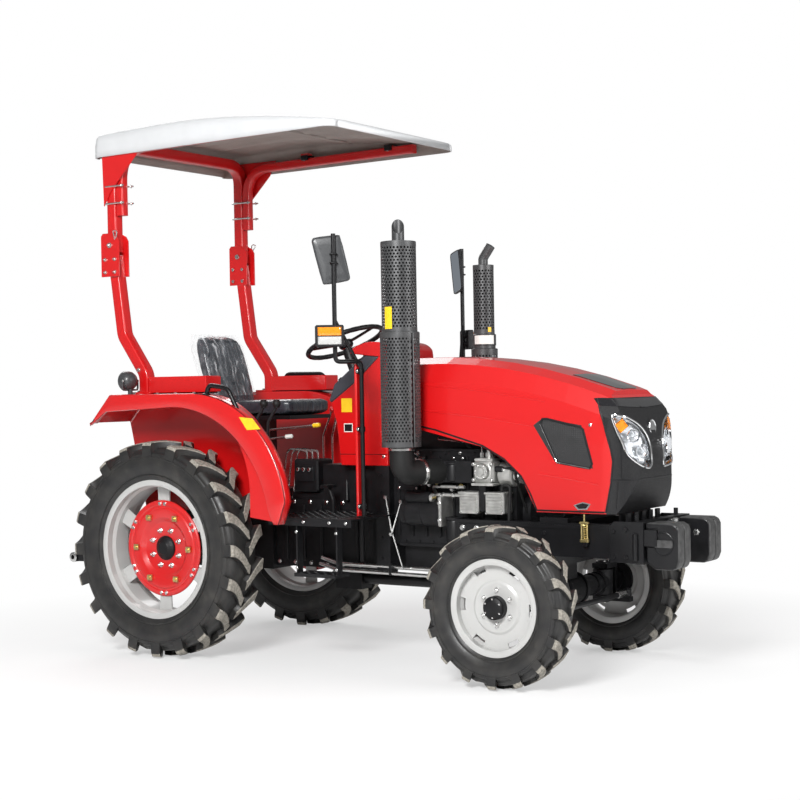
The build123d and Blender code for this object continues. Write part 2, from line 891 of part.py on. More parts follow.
def fender():
    """The left fender: its outer band, the wheel house inside it and the beam under the roll bar."""
    band = band_face()
    house = house_face()
    band_inner = fender_outer - fender_band
    skin_outer = fender_outer - sheet
    skin = side_plate(band, band_inner, fender_outer) + side_plate(house, fender_inner, fender_outer)
    hollow = side_plate(offset(band, -sheet), band_inner + sheet, skin_outer)
    hollow = hollow + side_plate(offset(house, -sheet), fender_inner + sheet, skin_outer)
    arch = side_plate(arch_face(), band_inner, fender_outer + 1)
    low = deck_high - 60
    back = polygon((-420, low), (-420, fender_top - 150), (-296, lip_top - 20), (0, lip_top - 20), (0, low))
    rear = side_plate(back, fender_inner + sheet, fender_outer + 1)
    house_front = house_arc_x + house_arc_r - sheet
    floor = block(-1, house_front, fender_inner + sheet, skin_outer, low, deck_high + sheet + 1)
    beam = block(-135, 245, post_y - 70, post_y + 45, fender_top, beam_high)
    return skin - hollow - arch - rear - floor + beam


def handrails():
    """A low curved loop on the right fender and a longer hoop with a strut on the left one."""
    loop_y = -(fender_outer - fender_band / 2)
    hoop_y = (fender_outer + post_y) / 2 + 10
    low = fender_top - 60
    loop = pipe(
        [
            (345, loop_y, low),
            (362, loop_y, fender_top + 35),
            (480, loop_y, fender_top + 18),
            (570, loop_y, fender_top - 150),
        ],
        11,
        40,
    )
    hoop = pipe(
        [
            (-190, hoop_y, low),
            (-165, hoop_y, fender_top + 98),
            (81, hoop_y, fender_top + 95),
            (250, hoop_y, low),
        ],
        11,
        40,
    )
    strut = upright(60, hoop_y, low, fender_top + 95, 8)
    under_loop = side_plate(band_face(), -fender_outer, -fender_inner)
    under_hoop = side_plate(house_face(), fender_inner, fender_outer)
    return [loop - under_loop, hoop + strut - under_hoop]


def rops_post():
    """The left lower post, bent forward to its foot on the fender, with its two fold plates."""
    top = fold_z - 52
    foot_x = -185
    foot = (foot_x, fender_top)
    path = FilletPolyline(foot, (foot_x, fender_top + 100), (-330, 1600), (fold_x, top), radius=90)
    post = side_plate(trace(path, 2 * post_half), post_y - post_half, post_y + post_half)
    post = post & block(-600, 0, 0, 1000, fender_top, top)
    cheek = polygon(
        (fold_x - 62, fold_z - 160),
        (fold_x + 62, fold_z - 160),
        (fold_x + 62, fold_z + 30),
        (fold_x + 20, fold_z + 62),
        (fold_x - 62, fold_z + 62),
    )
    outer_plate = side_plate(cheek, post_y + post_half, post_y + post_half + cheek_wall)
    inner_plate = side_plate(cheek, post_y - post_half - cheek_wall, post_y - post_half)
    reach = post_half + cheek_wall + 12
    pin = across(fold_x, post_y - reach, post_y + reach, fold_z, fold_pin_r)
    return post + outer_plate + inner_plate + pin


def rops_hoop():
    """The folding hoop, the arms that carry the canopy and the gusset plates at the corners."""
    side = post_half - 1
    low = fold_z - 34
    crown = hoop_high - side
    hoop = square_pipe(
        [(fold_x, post_y, low), (fold_x, post_y, crown), (fold_x, -post_y, crown), (fold_x, -post_y, low)],
        side,
        110,
    )
    hoop = hoop - across(fold_x, -700, 700, fold_z, fold_pin_r + running)
    front = fold_x + side + 23
    arm_z = hoop_high - 57
    arm = square_pipe(
        [(front, post_y, fold_z + 150), (front, post_y, arm_z), (roof_front - 230, post_y, arm_z + 15)],
        23,
        170,
    )
    gusset_outline = polygon(
        (fold_x - 50, hoop_high - 12),
        (fold_x + 235, hoop_high - 12),
        (fold_x + 191, hoop_high - 94),
        (fold_x + 5, hoop_high - 270),
        (fold_x - 40, hoop_high - 338),
    )
    gusset = side_plate(gusset_outline, post_y + side, roof_half - roof_wall)
    room = roof_form(roof_wall, 20)
    clips = [block(x, x + 60, post_y - 20, post_y + 20, arm_z, hoop_high + 60) & room for x in (60, 620)]
    half = arm.fuse(gusset, *clips)
    return hoop + half + mirrored(half)


def roof_form(inset, drop):
    """The roof's outer form, or the same form drawn in by an inset and deepened by a drop."""
    rear = roof_rear + inset
    front = roof_front - inset
    half = roof_half - inset
    top = roof_low - inset
    crown = Spline((rear + 40, top + 122), (100, top + 138), (600, top + 112), (front, top + 48))
    low = roof_low - drop
    edge = Polyline((front, top + 48), (front, low + 12), (rear, low), (rear + 40, top + 122))
    side = side_plate(make_face(crown + edge), -half, half)
    plan = Pos((front + rear) / 2, 0) * RectangleRounded(front - rear, 2 * half, 60 - inset)
    return side & extrude(Pos(0, 0, roof_low - drop) * plan, amount=300)


def canopy():
    """The roof: a thin shell with a crowned top and a deep skirt, open below."""
    return roof_form(0, 0) - roof_form(roof_wall, 20)


# Seat and small parts

def seat_base():
    """A stand on the lift cover and the tray under the cushion."""
    stand = block(20, 150, -120, 120, lift_z + 38, seat_low - 20)
    tray = block(-90, seat_front - 10, -170, 170, seat_low - 20, seat_low)
    return stand + tray


def seat_cushion():
    pad = block(5, seat_front, -seat_half, seat_half, seat_low, seat_high)
    return chamfer(pad.edges().filter_by(Axis.Z), 40)


def seat_back():
    outline = polygon(
        (-86, seat_low),
        (0, seat_low),
        (0, seat_high + 20),
        (-115, back_top),
        (-195, back_top),
        (-96, seat_high - 20),
    )
    return side_plate(outline, 30 - seat_half, seat_half - 30)


def mirror_arms():
    """The left mirror's tube from the footplate, its outward arm, its stalk and a brace."""
    foot = (arm_x, deck_half - 138)
    stalk = (stalk_x, stalk_y)
    bends = [(*foot, deck_high), (*foot, arm_high), (*stalk, arm_high), (*stalk, mirror_top + 5)]
    tube = pipe(bends, arm_r, 26)
    return tube + rod((*foot, arm_high - 35), (*stalk, arm_high + 195), 8)


def mirror_glass():
    """The left mirror, narrower at its foot, on the rear of its stalk."""
    top = mirror_top
    outline = polygon(
        (-88, top), (70, top), (92, top - 30), (58, top - 225), (-50, top - 225), (-92, top - 25)
    )
    plate = extrude(Plane.YZ.offset(-arm_r - 20) * outline, amount=20)
    return Pos(stalk_x, stalk_y, 0) * Rot(0, 0, mirror_turn) * plate


def lamps():
    """An indicator on each mirror stalk and one work lamp on the right fender."""
    case = block(arm_r, arm_r + 44, -50, 105, arm_high + 68, arm_high + 168)
    indicator = Pos(stalk_x, stalk_y, 0) * Rot(0, 0, mirror_turn) * case
    lamp_x = -207
    lamp_y = -(fender_outer - 90)
    centre = fender_top + 67
    shell = rod((lamp_x - 40, lamp_y, centre), (lamp_x + 30, lamp_y, centre), 50)
    foot = upright(lamp_x, lamp_y, fender_top, centre - 30, 14)
    return pair(indicator) + [shell + foot]


def controls():
    """Two levers on the right fender's wall and the pedals on the footplates."""
    wall = -fender_inner
    levers = []
    for x in (420, 500):
        foot = block(x - 18, x + 18, wall, wall + 30, 1000, 1040)
        stalk = pipe([(x, wall + 15, 1035), (x, wall + 15, 1150), (x + 40, wall + 35, 1230)], 8, 40)
        levers.append(foot + stalk + upright(x + 40, wall + 35, 1222, 1262, 15))
    pedal_x = cowl_rear + 65
    toe = (pedal_x - 25, 250, deck_high + 123)
    stem = pipe([(pedal_x, 250, deck_high), (pedal_x, 250, deck_high + 60), toe], 10, 30)
    pedal = stem + block(pedal_x - 55, pedal_x - 5, 215, 285, deck_high + 119, deck_high + 131)
    return levers + pair(pedal)


# Hitch

def rod_y():
    """Where the lift rods meet the lower links, across the tractor."""
    return link_y - link_half + link_spread * arm_reach / link_reach - 2


def lower_links():
    """The left lower link, with a pin that the lift rod's eye goes round."""
    end_x = link_x - link_reach
    y0 = link_y - link_half
    y1 = link_y + link_half
    front_eye = across(link_x, y0, y1, link_z, 30)
    ball = across(end_x, y0 + link_spread, y1 + link_spread, link_z, link_eye_r)
    outline = polygon(
        (link_x, y0 + 6), (link_x, y1 - 6), (end_x, y1 + link_spread - 6), (end_x, y0 + link_spread + 6)
    )
    bar = extrude(Pos(0, 0, link_z - 22) * outline, amount=44)
    pin = across(link_x - arm_reach, rod_y() - 34, rod_y() + 20, link_z, rod_pin_r)
    link = front_eye + bar + ball + pin
    link = link - across(link_x, y0 - 40, y1 + 40, link_z, link_pin_r + running)
    return link - across(end_x, y0 + link_spread - 40, y1 + link_spread + 40, link_z, ball_bore_r)


def lift_arms():
    """The cross shaft through the lift cover and an arm at each end."""
    inner = cover_half + 8
    outer = inner + arm_wall
    end_x = lift_x - arm_reach
    shaft = across(lift_x, -outer, outer, lift_z, lift_shaft_r)
    outline = polygon(
        (lift_x + 36, lift_z - 30),
        (lift_x + 36, lift_z + 30),
        (end_x - 20, lift_z + 20),
        (end_x - 20, lift_z - 20),
    )
    arm = side_plate(outline, inner, outer) + across(end_x, outer - 4, outer + 34, lift_z, rod_pin_r)
    return shaft + arm + mirrored(arm)


def lift_rods():
    """The left lift rod, from its arm's pin to the open eye round the lower link's pin."""
    top_x = lift_x - arm_reach
    low_x = link_x - arm_reach
    top_y = cover_half + 8 + arm_wall + 4
    low_y = rod_y() - 30
    top_eye = across(top_x, top_y, top_y + 24, lift_z, 24)
    low_eye = across(low_x, low_y, low_y + 22, link_z, 24)
    bar = rod((top_x, top_y + 12, lift_z), (low_x, low_y + 11, link_z), rod_r)
    one = top_eye + low_eye + bar
    one = one - across(top_x, top_y - 10, top_y + 60, lift_z, rod_pin_r + running)
    return one - across(low_x, low_y - 40, low_y + 60, link_z, rod_pin_r + open_eye)


def build():
    os.makedirs("parts", exist_ok=True)
    wheels()
    save("front_axle", front_axle())
    save("knuckle_left", knuckle())
    save("knuckle_right", mirrored(knuckle()))
    save("tie_rod", tie_rod())
    save("steering_column", steering_column())
    save("steering_wheel", steering_wheel())
    save("transmission", transmission())
    save("rear_axle", *pair(rear_axle()))
    save("hitch_frame", *hitch_frame())
    engine = engine_block()
    save("engine_block", engine)
    save("engine_pumps", engine_pumps())
    save("drive_shaft", drive_shaft())
    save("front_frame", front_frame())
    save("front_weights", *front_weights())
    save("radiator", radiator())
    save("exhaust_stack", exhaust_stack(engine))
    save("intake_stack", intake_stack(engine))
    shell, mask, lamp, mesh = hood_parts()
    save("hood_shell", shell)
    save("front_mask", mask)
    save("headlamps", *pair(lamp))
    save("hood_mesh", *pair(mesh))
    save("cowl", *cowl())
    save("dash", dash())
    save("footplates", *pair(footplates()))
    save("fender_left", fender())
    save("fender_right", mirrored(fender()))
    save("handrails", *handrails())
    save("rops_posts", *pair(rops_post()))
    save("rops_hoop", rops_hoop())
    save("canopy", canopy())
    save("seat_base", seat_base())
    save("seat_cushion", seat_cushion())
    save("seat_back", seat_back())
    save("mirror_arms", *pair(mirror_arms()))
    save("mirrors", *pair(mirror_glass()))
    save("lamps", *lamps())
    save("controls", *controls())
    save("lower_links", *pair(lower_links()))
    save("lift_arms", lift_arms())
    save("lift_rods", *pair(lift_rods()))


build()
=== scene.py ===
from collections import namedtuple
from math import cos, pi, radians, sin, tan

import bmesh
import bpy
from mathutils import Matrix, Vector
from mathutils.bvhtree import BVHTree


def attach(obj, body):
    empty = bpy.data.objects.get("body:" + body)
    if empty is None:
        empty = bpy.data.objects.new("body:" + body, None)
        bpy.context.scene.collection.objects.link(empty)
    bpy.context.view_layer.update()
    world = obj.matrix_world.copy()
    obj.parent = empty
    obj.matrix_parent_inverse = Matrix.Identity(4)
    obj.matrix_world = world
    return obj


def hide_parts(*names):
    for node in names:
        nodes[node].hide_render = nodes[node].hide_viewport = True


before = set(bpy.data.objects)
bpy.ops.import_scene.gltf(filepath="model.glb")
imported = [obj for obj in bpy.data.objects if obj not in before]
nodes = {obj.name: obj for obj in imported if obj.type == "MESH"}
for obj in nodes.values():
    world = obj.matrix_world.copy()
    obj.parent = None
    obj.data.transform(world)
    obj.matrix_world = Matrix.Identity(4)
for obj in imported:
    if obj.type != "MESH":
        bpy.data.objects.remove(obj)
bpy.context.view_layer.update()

# Places and sizes below are in millimetres: ahead of the rear axle, to the left, and up from the ground.
# The frame is in metres, and the rear axle lies this far from its origin.
AXLE = -0.8565
REAR_WHEEL = (0, 580, 535)
FRONT_WHEEL = (1900, 555, 355)
SIDES = {"left": 1, "right": -1}
UP = (0, 0, 1)
AHEAD = (1, 0, 0)
TO_RIGHT = (0, -1, 0)


# Materials

def wire(tree, node, **values):
    """Set a node's inputs by name, each to a plain value or to another node's output."""
    sockets = {socket.name.lower().replace(" ", "_"): socket for socket in list(node.inputs)[::-1]}
    for name, value in values.items():
        if isinstance(value, bpy.types.NodeSocket):
            tree.links.new(value, sockets[name])
        else:
            sockets[name].default_value = value
    return node


def add_node(tree, kind, **values):
    return wire(tree, tree.nodes.new("ShaderNode" + kind), **values)


def shader(name):
    """A new material, with its node tree and its main shader."""
    made = bpy.data.materials.new(name)
    made.use_nodes = True
    tree = made.node_tree
    return made, tree, tree.nodes["Principled BSDF"]


def own_place(tree):
    """The object's own coordinates, the same in every pose."""
    return add_node(tree, "TexCoord").outputs["Object"]


def noise(tree, scale, detail=4.0):
    return add_node(tree, "TexNoise", vector=own_place(tree), scale=scale, detail=detail).outputs["Fac"]


def ramp(tree, value, *stops):
    """A colour for each stretch of a value, from (place, colour) stops."""
    made = add_node(tree, "ValToRGB", fac=value)
    line = made.color_ramp.elements
    for end, (place, colour) in zip((line[0], line[1]), (stops[0], stops[-1])):
        end.position = place
        end.color = (*colour, 1)
    for place, colour in stops[1:-1]:
        line.new(place).color = (*colour, 1)
    return made.outputs["Color"]


def spread(tree, value, low, high):
    """The value's middle stretch spread over a range."""
    made = add_node(tree, "MapRange", value=value, from_min=0.3, from_max=0.7, to_min=low, to_max=high)
    return made.outputs["Result"]


def bump(tree, main, value, height):
    """A fine relief from a value, its height in metres."""
    made = add_node(tree, "Bump", strength=1.0, distance=height, height=value)
    wire(tree, main, normal=made.outputs["Normal"])


def grey(share):
    return (share, share, share)


def tint(colour, share):
    return tuple(min(1.0, c * share) for c in colour)


def finish(name, colour, rough, metal=0.0, coat=0.0, vary=0.12, grain=9.0, relief=0.0, relief_scale=400.0,
           shine=0.5, uneven=0.15):
    """A surface whose colour and roughness vary gently, with an optional fine relief."""
    made, tree, main = shader(name)
    patches = ramp(tree, noise(tree, grain), (0.3, tint(colour, 1 - vary)), (0.7, tint(colour, 1 + vary)))
    gloss = spread(tree, noise(tree, grain * 14), rough * (1 - uneven), rough * (1 + uneven))
    wire(tree, main, base_color=patches, roughness=gloss, metallic=metal, specular_ior_level=shine,
         coat_weight=coat, coat_roughness=0.08)
    if relief:
        bump(tree, main, noise(tree, relief_scale, 2.0), relief)
    return made


RED = finish("red_paint", (0.58, 0.006, 0.007), 0.30, coat=0.6, vary=0.03, grain=2, uneven=0.02)
WHITE = finish("white_paint", (0.47, 0.47, 0.46), 0.32, coat=0.3, vary=0.03)
ROOF = finish("roof_paint", (0.60, 0.61, 0.62), 0.42, coat=0.1, vary=0.03, relief=0.0002, relief_scale=120)
ROOF_UNDER = finish("roof_underside", (0.30, 0.27, 0.245), 0.6, vary=0.08, relief=0.0003, relief_scale=160)
BLACK = finish("black_paint", (0.007, 0.007, 0.008), 0.36, coat=0.08, vary=0.25, relief=0.0002,
               relief_scale=300, shine=0.3)
IRON = finish("black_casting", (0.007, 0.007, 0.008), 0.46, vary=0.35, grain=22, relief=0.0010,
              relief_scale=240, shine=0.28)
ALLOY = finish("bare_alloy", (0.55, 0.55, 0.53), 0.40, metal=0.85, vary=0.18, grain=30, relief=0.0006,
               relief_scale=420)
STEEL = finish("bright_steel", (0.66, 0.66, 0.65), 0.25, metal=1.0, vary=0.10, grain=40)
ZINC = finish("yellow_zinc", (0.62, 0.50, 0.22), 0.32, metal=0.9, vary=0.2, grain=60)
PLASTIC = finish("black_plastic", (0.009, 0.009, 0.010), 0.42, vary=0.2, relief=0.0002, relief_scale=700,
                 shine=0.3)
GLOSS = finish("gloss_black", (0.010, 0.010, 0.012), 0.10, coat=0.8, vary=0.15)
HOSE = finish("hose_rubber", (0.010, 0.010, 0.010), 0.55, vary=0.2, shine=0.3)
SLATE = finish("slate_plastic", (0.045, 0.050, 0.062), 0.50, vary=0.12, relief=0.0003, relief_scale=600)
YELLOW = finish("yellow_label", (0.86, 0.55, 0.02), 0.35, vary=0.06, grain=40)
LABEL_WHITE = finish("white_label", (0.80, 0.80, 0.76), 0.40, vary=0.05, grain=40)
AMBER = finish("amber_lens", (0.90, 0.26, 0.01), 0.12, coat=0.6, vary=0.08, grain=60)
RED_LENS = finish("red_lens", (0.60, 0.02, 0.02), 0.12, coat=0.6, vary=0.08, grain=60)
CLEAR_LENS = finish("clear_lens", (0.60, 0.62, 0.64), 0.10, coat=0.8, vary=0.06, grain=90)
CHROME = finish("chrome", (0.80, 0.81, 0.82), 0.07, metal=1.0, vary=0.03)
GLASS = finish("mirror_glass", (0.62, 0.70, 0.80), 0.03, metal=1.0, vary=0.02)
GUARD = finish("guard_sheet", (0.075, 0.076, 0.078), 0.38, metal=0.35, vary=0.2, grain=30)
REFLECTOR = finish("lamp_bowl", (0.74, 0.76, 0.78), 0.22, metal=0.7, vary=0.1, grain=60)
WORN_EDGES = finish("worn_edge_paint", grey(0.050), 0.5, vary=0.5, grain=40, relief=0.0006, relief_scale=260)
MIRROR_BACK = finish("grey_plastic", (0.045, 0.047, 0.050), 0.38, coat=0.2, vary=0.1, relief=0.0002,
                     relief_scale=500)


def rubber():
    """Tyre rubber with a dusty bloom."""
    made, tree, main = shader("tyre_rubber")
    dust = ramp(tree, noise(tree, 14.0), (0.35, (0.016, 0.016, 0.0165)), (0.6, (0.028, 0.027, 0.0255)),
                (0.8, (0.050, 0.047, 0.042)))
    gloss = spread(tree, noise(tree, 60.0), 0.34, 0.48)
    wire(tree, main, base_color=dust, roughness=gloss, specular_ior_level=0.45)
    bump(tree, main, noise(tree, 320.0), 0.0004)
    return made


def worn_rubber():
    """The lugs' worn tops, grey-brown and scuffed."""
    made, tree, main = shader("worn_rubber")
    scuff = ramp(tree, noise(tree, 90.0, 8.0), (0.3, (0.16, 0.149, 0.129)), (0.5, (0.27, 0.251, 0.216)),
                 (0.72, (0.39, 0.362, 0.312)))
    wire(tree, main, base_color=scuff, roughness=0.8)
    bump(tree, main, noise(tree, 500.0), 0.0008)
    return made


def speckled_plastic():
    """The nose's grained plastic, black with pale specks."""
    made, tree, main = shader("speckled_plastic")
    stops = ((0.45, (0.010, 0.010, 0.011)), (0.66, (0.026, 0.026, 0.027)), (0.8, grey(0.09)))
    specks = ramp(tree, noise(tree, 420.0, 6.0), *stops)
    gloss = spread(tree, noise(tree, 240.0), 0.36, 0.62)
    wire(tree, main, base_color=specks, roughness=gloss, specular_ior_level=0.25)
    bump(tree, main, noise(tree, 420.0, 6.0), 0.0006)
    return made


def clear_cover():
    """A thin clear cover, with faint waves in its gloss."""
    made, tree, main = shader("clear_cover")
    gloss = spread(tree, noise(tree, 40.0), 0.01, 0.05)
    wire(tree, main, base_color=(0.97, 0.98, 1.0, 1), transmission_weight=1.0, ior=1.12, roughness=gloss)
    return made


def folds(tree, scale):
    """Long soft folds that run up and down, as in thin plastic film."""
    stretch = add_node(tree, "Mapping", vector=own_place(tree), scale=(1.4, 4.5, 1.0),
                       rotation=(0.25, 0.0, 0.3))
    texture = add_node(tree, "TexNoise", vector=stretch.outputs["Vector"], scale=scale, detail=5.0,
                       distortion=0.6)
    return texture.outputs["Fac"]


def wrapped_vinyl():
    """Blue-grey vinyl under clear film: a glossy coat with long folds, darker in their hollows as painted
    shade and pale along their ridges as painted highlights.
    """
    made, tree, main = shader("wrapped_vinyl")
    creases = folds(tree, 7.0)
    # Painted shade and highlights: the colour follows the folds, darker in their hollows and pale along
    # their ridges.
    pale = ramp(tree, creases, (0.40, (0.020, 0.024, 0.031)), (0.60, (0.040, 0.047, 0.058)),
                (0.74, (0.17, 0.185, 0.21)))
    gloss = spread(tree, noise(tree, 60.0), 0.24, 0.40)
    wire(tree, main, base_color=pale, roughness=gloss, coat_weight=0.35, coat_roughness=0.15)
    bump(tree, main, creases, 0.012)
    return made


def film():
    """Thin clear plastic, mostly seen by its folds, its pale colour showing along their ridges as painted
    highlights.
    """
    made, tree, main = shader("clear_film")
    creases = folds(tree, 11.0)
    # Painted highlights: the pale film shows along the folds' ridges and is nearly clear between them.
    fold_glint_alpha = ramp(tree, creases, (0.45, grey(0.04)), (0.60, grey(0.16)), (0.72, grey(0.70)))
    gloss = spread(tree, noise(tree, 50.0), 0.12, 0.28)
    wire(tree, main, base_color=(0.80, 0.82, 0.85, 1), ior=1.3, alpha=fold_glint_alpha, roughness=gloss)
    bump(tree, main, creases, 0.008)
    return made


def punched():
    """Dark sheet with rows of small round holes, for the hood's side windows."""
    made, tree, main = shader("punched_sheet")
    cells = add_node(tree, "TexVoronoi", vector=own_place(tree), scale=110.0, randomness=0.0)
    holes = ramp(tree, cells.outputs["Distance"], (0.34, grey(0.002)), (0.40, (0.020, 0.020, 0.021)))
    wire(tree, main, base_color=holes, roughness=spread(tree, noise(tree, 50.0), 0.35, 0.55))
    bump(tree, main, cells.outputs["Distance"], 0.002)
    return made


COVER = clear_cover()
RUBBER = rubber()
WORN = worn_rubber()
SPECKLED = speckled_plastic()
WRAPPED = wrapped_vinyl()
FILM = film()
PUNCHED = punched()


# Mesh building

def metres(point):
    """A place in the frame, from a place in millimetres."""
    x, y, z = point
    return AXLE + x / 1000, y / 1000, z / 1000


class Build:
    """Points and faces gathered for one piece, with a finish for each face."""

    def __init__(self, look):
        self.look = look
        self.points = []
        self.faces = []
        self.looks = []

    def add(self, points, faces, look=None):
        start = len(self.points)
        self.points += points
        self.faces += [tuple(start + i for i in face) for face in faces]
        self.looks += [self.look if look is None else look] * len(faces)

    def make(self, name, body, slot, replaces=(), sharp=35):
        """The piece, riding on a body, smooth across edges flatter than an angle."""
        data = bpy.data.meshes.new(name)
        data.from_pydata([metres(p) for p in self.points], [], self.faces)
        clean = bmesh.new()
        clean.from_mesh(data)
        bmesh.ops.recalc_face_normals(clean, faces=clean.faces)
        clean.to_mesh(data)
        clean.free()
        kinds = list(dict.fromkeys(self.looks))
        for look in kinds:
            data.materials.append(look)
        data.polygons.foreach_set("material_index", [kinds.index(look) for look in self.looks])
        data.polygons.foreach_set("use_smooth", [True] * len(self.faces))
        data.set_sharp_from_angle(angle=radians(sharp))
        made = bpy.data.objects.new(name, data)
        bpy.context.scene.collection.objects.link(made)
        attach(made, body)
        if replaces:
            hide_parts(*replaces)
        return made


def loft(build, rows, look=None, closed=False, loop=False, ends=False):
    """A skin over rows of points; rows may close to rings, the rows to a loop, and both ends be filled."""
    size = len(rows[0])
    faces = []
    for i in range(len(rows) if loop else len(rows) - 1):
        near = i * size
        far = (i + 1) % len(rows) * size
        for k in range(size if closed else size - 1):
            n = (k + 1) % size
            faces.append((near + k, near + n, far + n, far + k))
    if ends:
        last = len(rows) * size
        faces += [tuple(range(size)), tuple(range(last - size, last))]
    build.add([p for row in rows for p in row], faces, look)


def cap(build, *rows, look=None):
    """Fill rows of points as flat faces of their own."""
    for row in rows:
        build.add(row, [tuple(range(len(row)))], look)


def curve_step(a, b, c, d, t):
    """A point between b and c, on a smooth curve through four points."""
    square = 2 * a - 5 * b + 4 * c - d
    cube = 3 * b - a - 3 * c + d
    return 0.5 * (2 * b + (c - a) * t + square * t * t + cube * t ** 3)


def curve_profile(points, steps=6):
    """A smooth line through points, for profiles and paths."""
    line = [Vector(p) for p in points]
    ends = [2 * line[0] - line[1], *line, 2 * line[-1] - line[-2]]
    curve = []
    for a, b, c, d in zip(ends, ends[1:], ends[2:], ends[3:]):
        curve += [curve_step(a, b, c, d, k / steps) for k in range(steps)]
    return curve + [line[-1]]


def prism(build, outline, depth, place, look=None, edge=0):
    """A plate from an outline in a place's own x and y, its edges eased by a small chamfer."""
    flat = [Vector(p) for p in outline]
    middle = sum(flat, Vector((0, 0))) / len(flat)
    layers = [(0, edge), (edge, 0), (depth - edge, 0), (depth, edge)] if edge else [(0, 0), (depth, 0)]
    rows = []
    for z, inset in layers:
        row = []
        for p in flat:
            away = p - middle
            spot = middle + away * max(0.0, 1 - inset / max(away.length, 0.001))
            row.append(place @ Vector((spot.x, spot.y, z)))
        rows.append(row)
    loft(build, rows, look, closed=True, ends=True)


def rectangle(half_x, half_y):
    return [(-half_x, -half_y), (half_x, -half_y), (half_x, half_y), (-half_x, half_y)]


def ring_points(radius, count, start=0.0):
    turns = [start + 2 * pi * i / count for i in range(count)]
    return [(radius * cos(turn), radius * sin(turn)) for turn in turns]


def facing(place, direction):
    """A matrix at a place whose z runs along a direction."""
    turn = Vector(UP).rotation_difference(Vector(direction).normalized())
    return Matrix.Translation(Vector(place)) @ turn.to_matrix().to_4x4()


def cylinder(build, start, end, radius, count=24, look=None, edge=0):
    """A round bar between two points, its ends eased."""
    way = Vector(end) - Vector(start)
    place = facing(start, way)
    rings = [(radius - edge, 0), (radius, edge), (radius, way.length - edge), (radius - edge, way.length)]
    if not edge:
        rings = [(radius, 0), (radius, way.length)]
    rows = [[place @ Vector((x, y, z)) for x, y in ring_points(r, count)] for r, z in rings]
    loft(build, rows, look, closed=True, ends=True)


def bolt(build, place, direction, size, look=None, stud=0):
    """A hexagon head on a washer, and the stud's end where there is one."""
    way = Vector(direction).normalized()
    start = Vector(place)
    washer = start + way * size * 0.16
    high = size * 0.65
    cylinder(build, start, washer, size * 1.15, 20, look)
    prism(build, ring_points(size, 6), high, facing(washer, way), look, size * 0.12)
    if stud:
        cylinder(build, start, start + way * (high + stud), size * 0.52, 12, look, size * 0.1)


def bolts(build, places, direction, size, look=None, stud=0):
    for place in places:
        bolt(build, place, direction, size, look, stud)


def round_about(place, radius, height, count, start=0.0):
    """Places in a ring about a place's own z."""
    return [place @ Vector((x, y, height)) for x, y in ring_points(radius, count, start)]


def tube(build, path, radius, count=12, look=None, closed=False):
    """A round tube along a line of points."""
    line = [Vector(p) for p in path]
    total = len(line)
    rows = []
    normal = None
    for i, p in enumerate(line):
        ahead = line[(i + 1) % total] if closed or i < total - 1 else p
        behind = line[i - 1] if closed or i > 0 else p
        along = (ahead - behind).normalized()
        if normal is None:
            normal = along.orthogonal()
        normal = (normal - along * normal.dot(along)).normalized()
        other = along.cross(normal)
        rows.append([p + normal * x + other * y for x, y in ring_points(radius, count)])
    loft(build, rows, look, closed=True, loop=closed, ends=not closed)


def bent(points, bend, steps=6):
    """A line through corner points, each corner rounded."""
    corners = [Vector(p) for p in points]
    line = [corners[0]]
    for before, corner, after in zip(corners, corners[1:], corners[2:]):
        back = before - corner
        on = after - corner
        reach = min(bend / max(tan(back.angle(on) / 2), 0.05), back.length * 0.48, on.length * 0.48)
        a = corner + back.normalized() * reach
        b = corner + on.normalized() * reach
        for t in (k / steps for k in range(steps + 1)):
            line.append(a * (1 - t) ** 2 + corner * 2 * t * (1 - t) + b * t * t)
    return line + [corners[-1]]


def pipe(build, points, bend, radius, count=10, look=None, steps=6):
    """A round tube through corner points, each corner rounded."""
    tube(build, bent(points, bend, steps), radius, count, look)


def box(build, low, high, look=None, edge=3):
    """A block between two opposite corners, its edges eased."""
    (x0, x1), (y0, y1), (z0, z1) = (sorted(pair) for pair in zip(low, high))
    outline = [(x0 + edge, y0), (x1 - edge, y0), (x1, y0 + edge), (x1, y1 - edge),
               (x1 - edge, y1), (x0 + edge, y1), (x0, y1 - edge), (x0, y0 + edge)]
    prism(build, outline, z1 - z0, Matrix.Translation((0, 0, z0)), look, edge)


def side_prism(build, outline, y0, y1, look=None, edge=0):
    """A plate from an outline of (x, z), between two places across the tractor."""
    low, high = sorted((y0, y1))
    place = Matrix.Translation((0, high, 0)) @ Matrix.Rotation(pi / 2, 4, "X")
    prism(build, outline, high - low, place, look, edge)


def spin(build, profile, place, count=48, look=None, closed=False, start=0.0, sweep=2 * pi):
    """Turn a profile of (radius, height) about a place's own z, all the way round or over a part."""
    whole = sweep > 2 * pi - 1e-6
    rows = []
    for i in range(count if whole else count + 1):
        turn = start + sweep * i / count
        rows.append([place @ Vector((r * cos(turn), r * sin(turn), height)) for r, height in profile])
    loft(build, rows, look, closed, loop=whole)


def wheel_place(centre, side):
    """Axes at a wheel's middle, with z out along the axle."""
    return Matrix.Translation(centre) @ Matrix(((0, 1, 0), (0, 0, side), (1, 0, 0))).to_4x4()


def square_tube(build, path, half, lateral, corner=8):
    """A square tube with rounded corners along a flat path, one face square to a direction."""
    line = [Vector(p) for p in path]
    side = Vector(lateral)
    flat = half - corner
    section = []
    for k, (u, v) in enumerate(((1, 1), (-1, 1), (-1, -1), (1, -1))):
        for step in range(4):
            turn = pi / 2 * (k + step / 3)
            section.append((u * flat + corner * cos(turn), v * flat + corner * sin(turn)))
    rows = []
    for behind, p, ahead in zip(line[:1] + line, line, line[1:] + line[-1:]):
        normal = (ahead - behind).normalized().cross(side)
        rows.append([p + side * u + normal * v for u, v in section])
    loft(build, rows, closed=True)
    cap(build, rows[0], rows[-1])


def thicken(made, thick):
    """Give a skin its sheet thickness, in metres, on the inner side."""
    solid = made.modifiers.new("sheet", "SOLIDIFY")
    solid.thickness = thick
    solid.offset = -1
    return solid


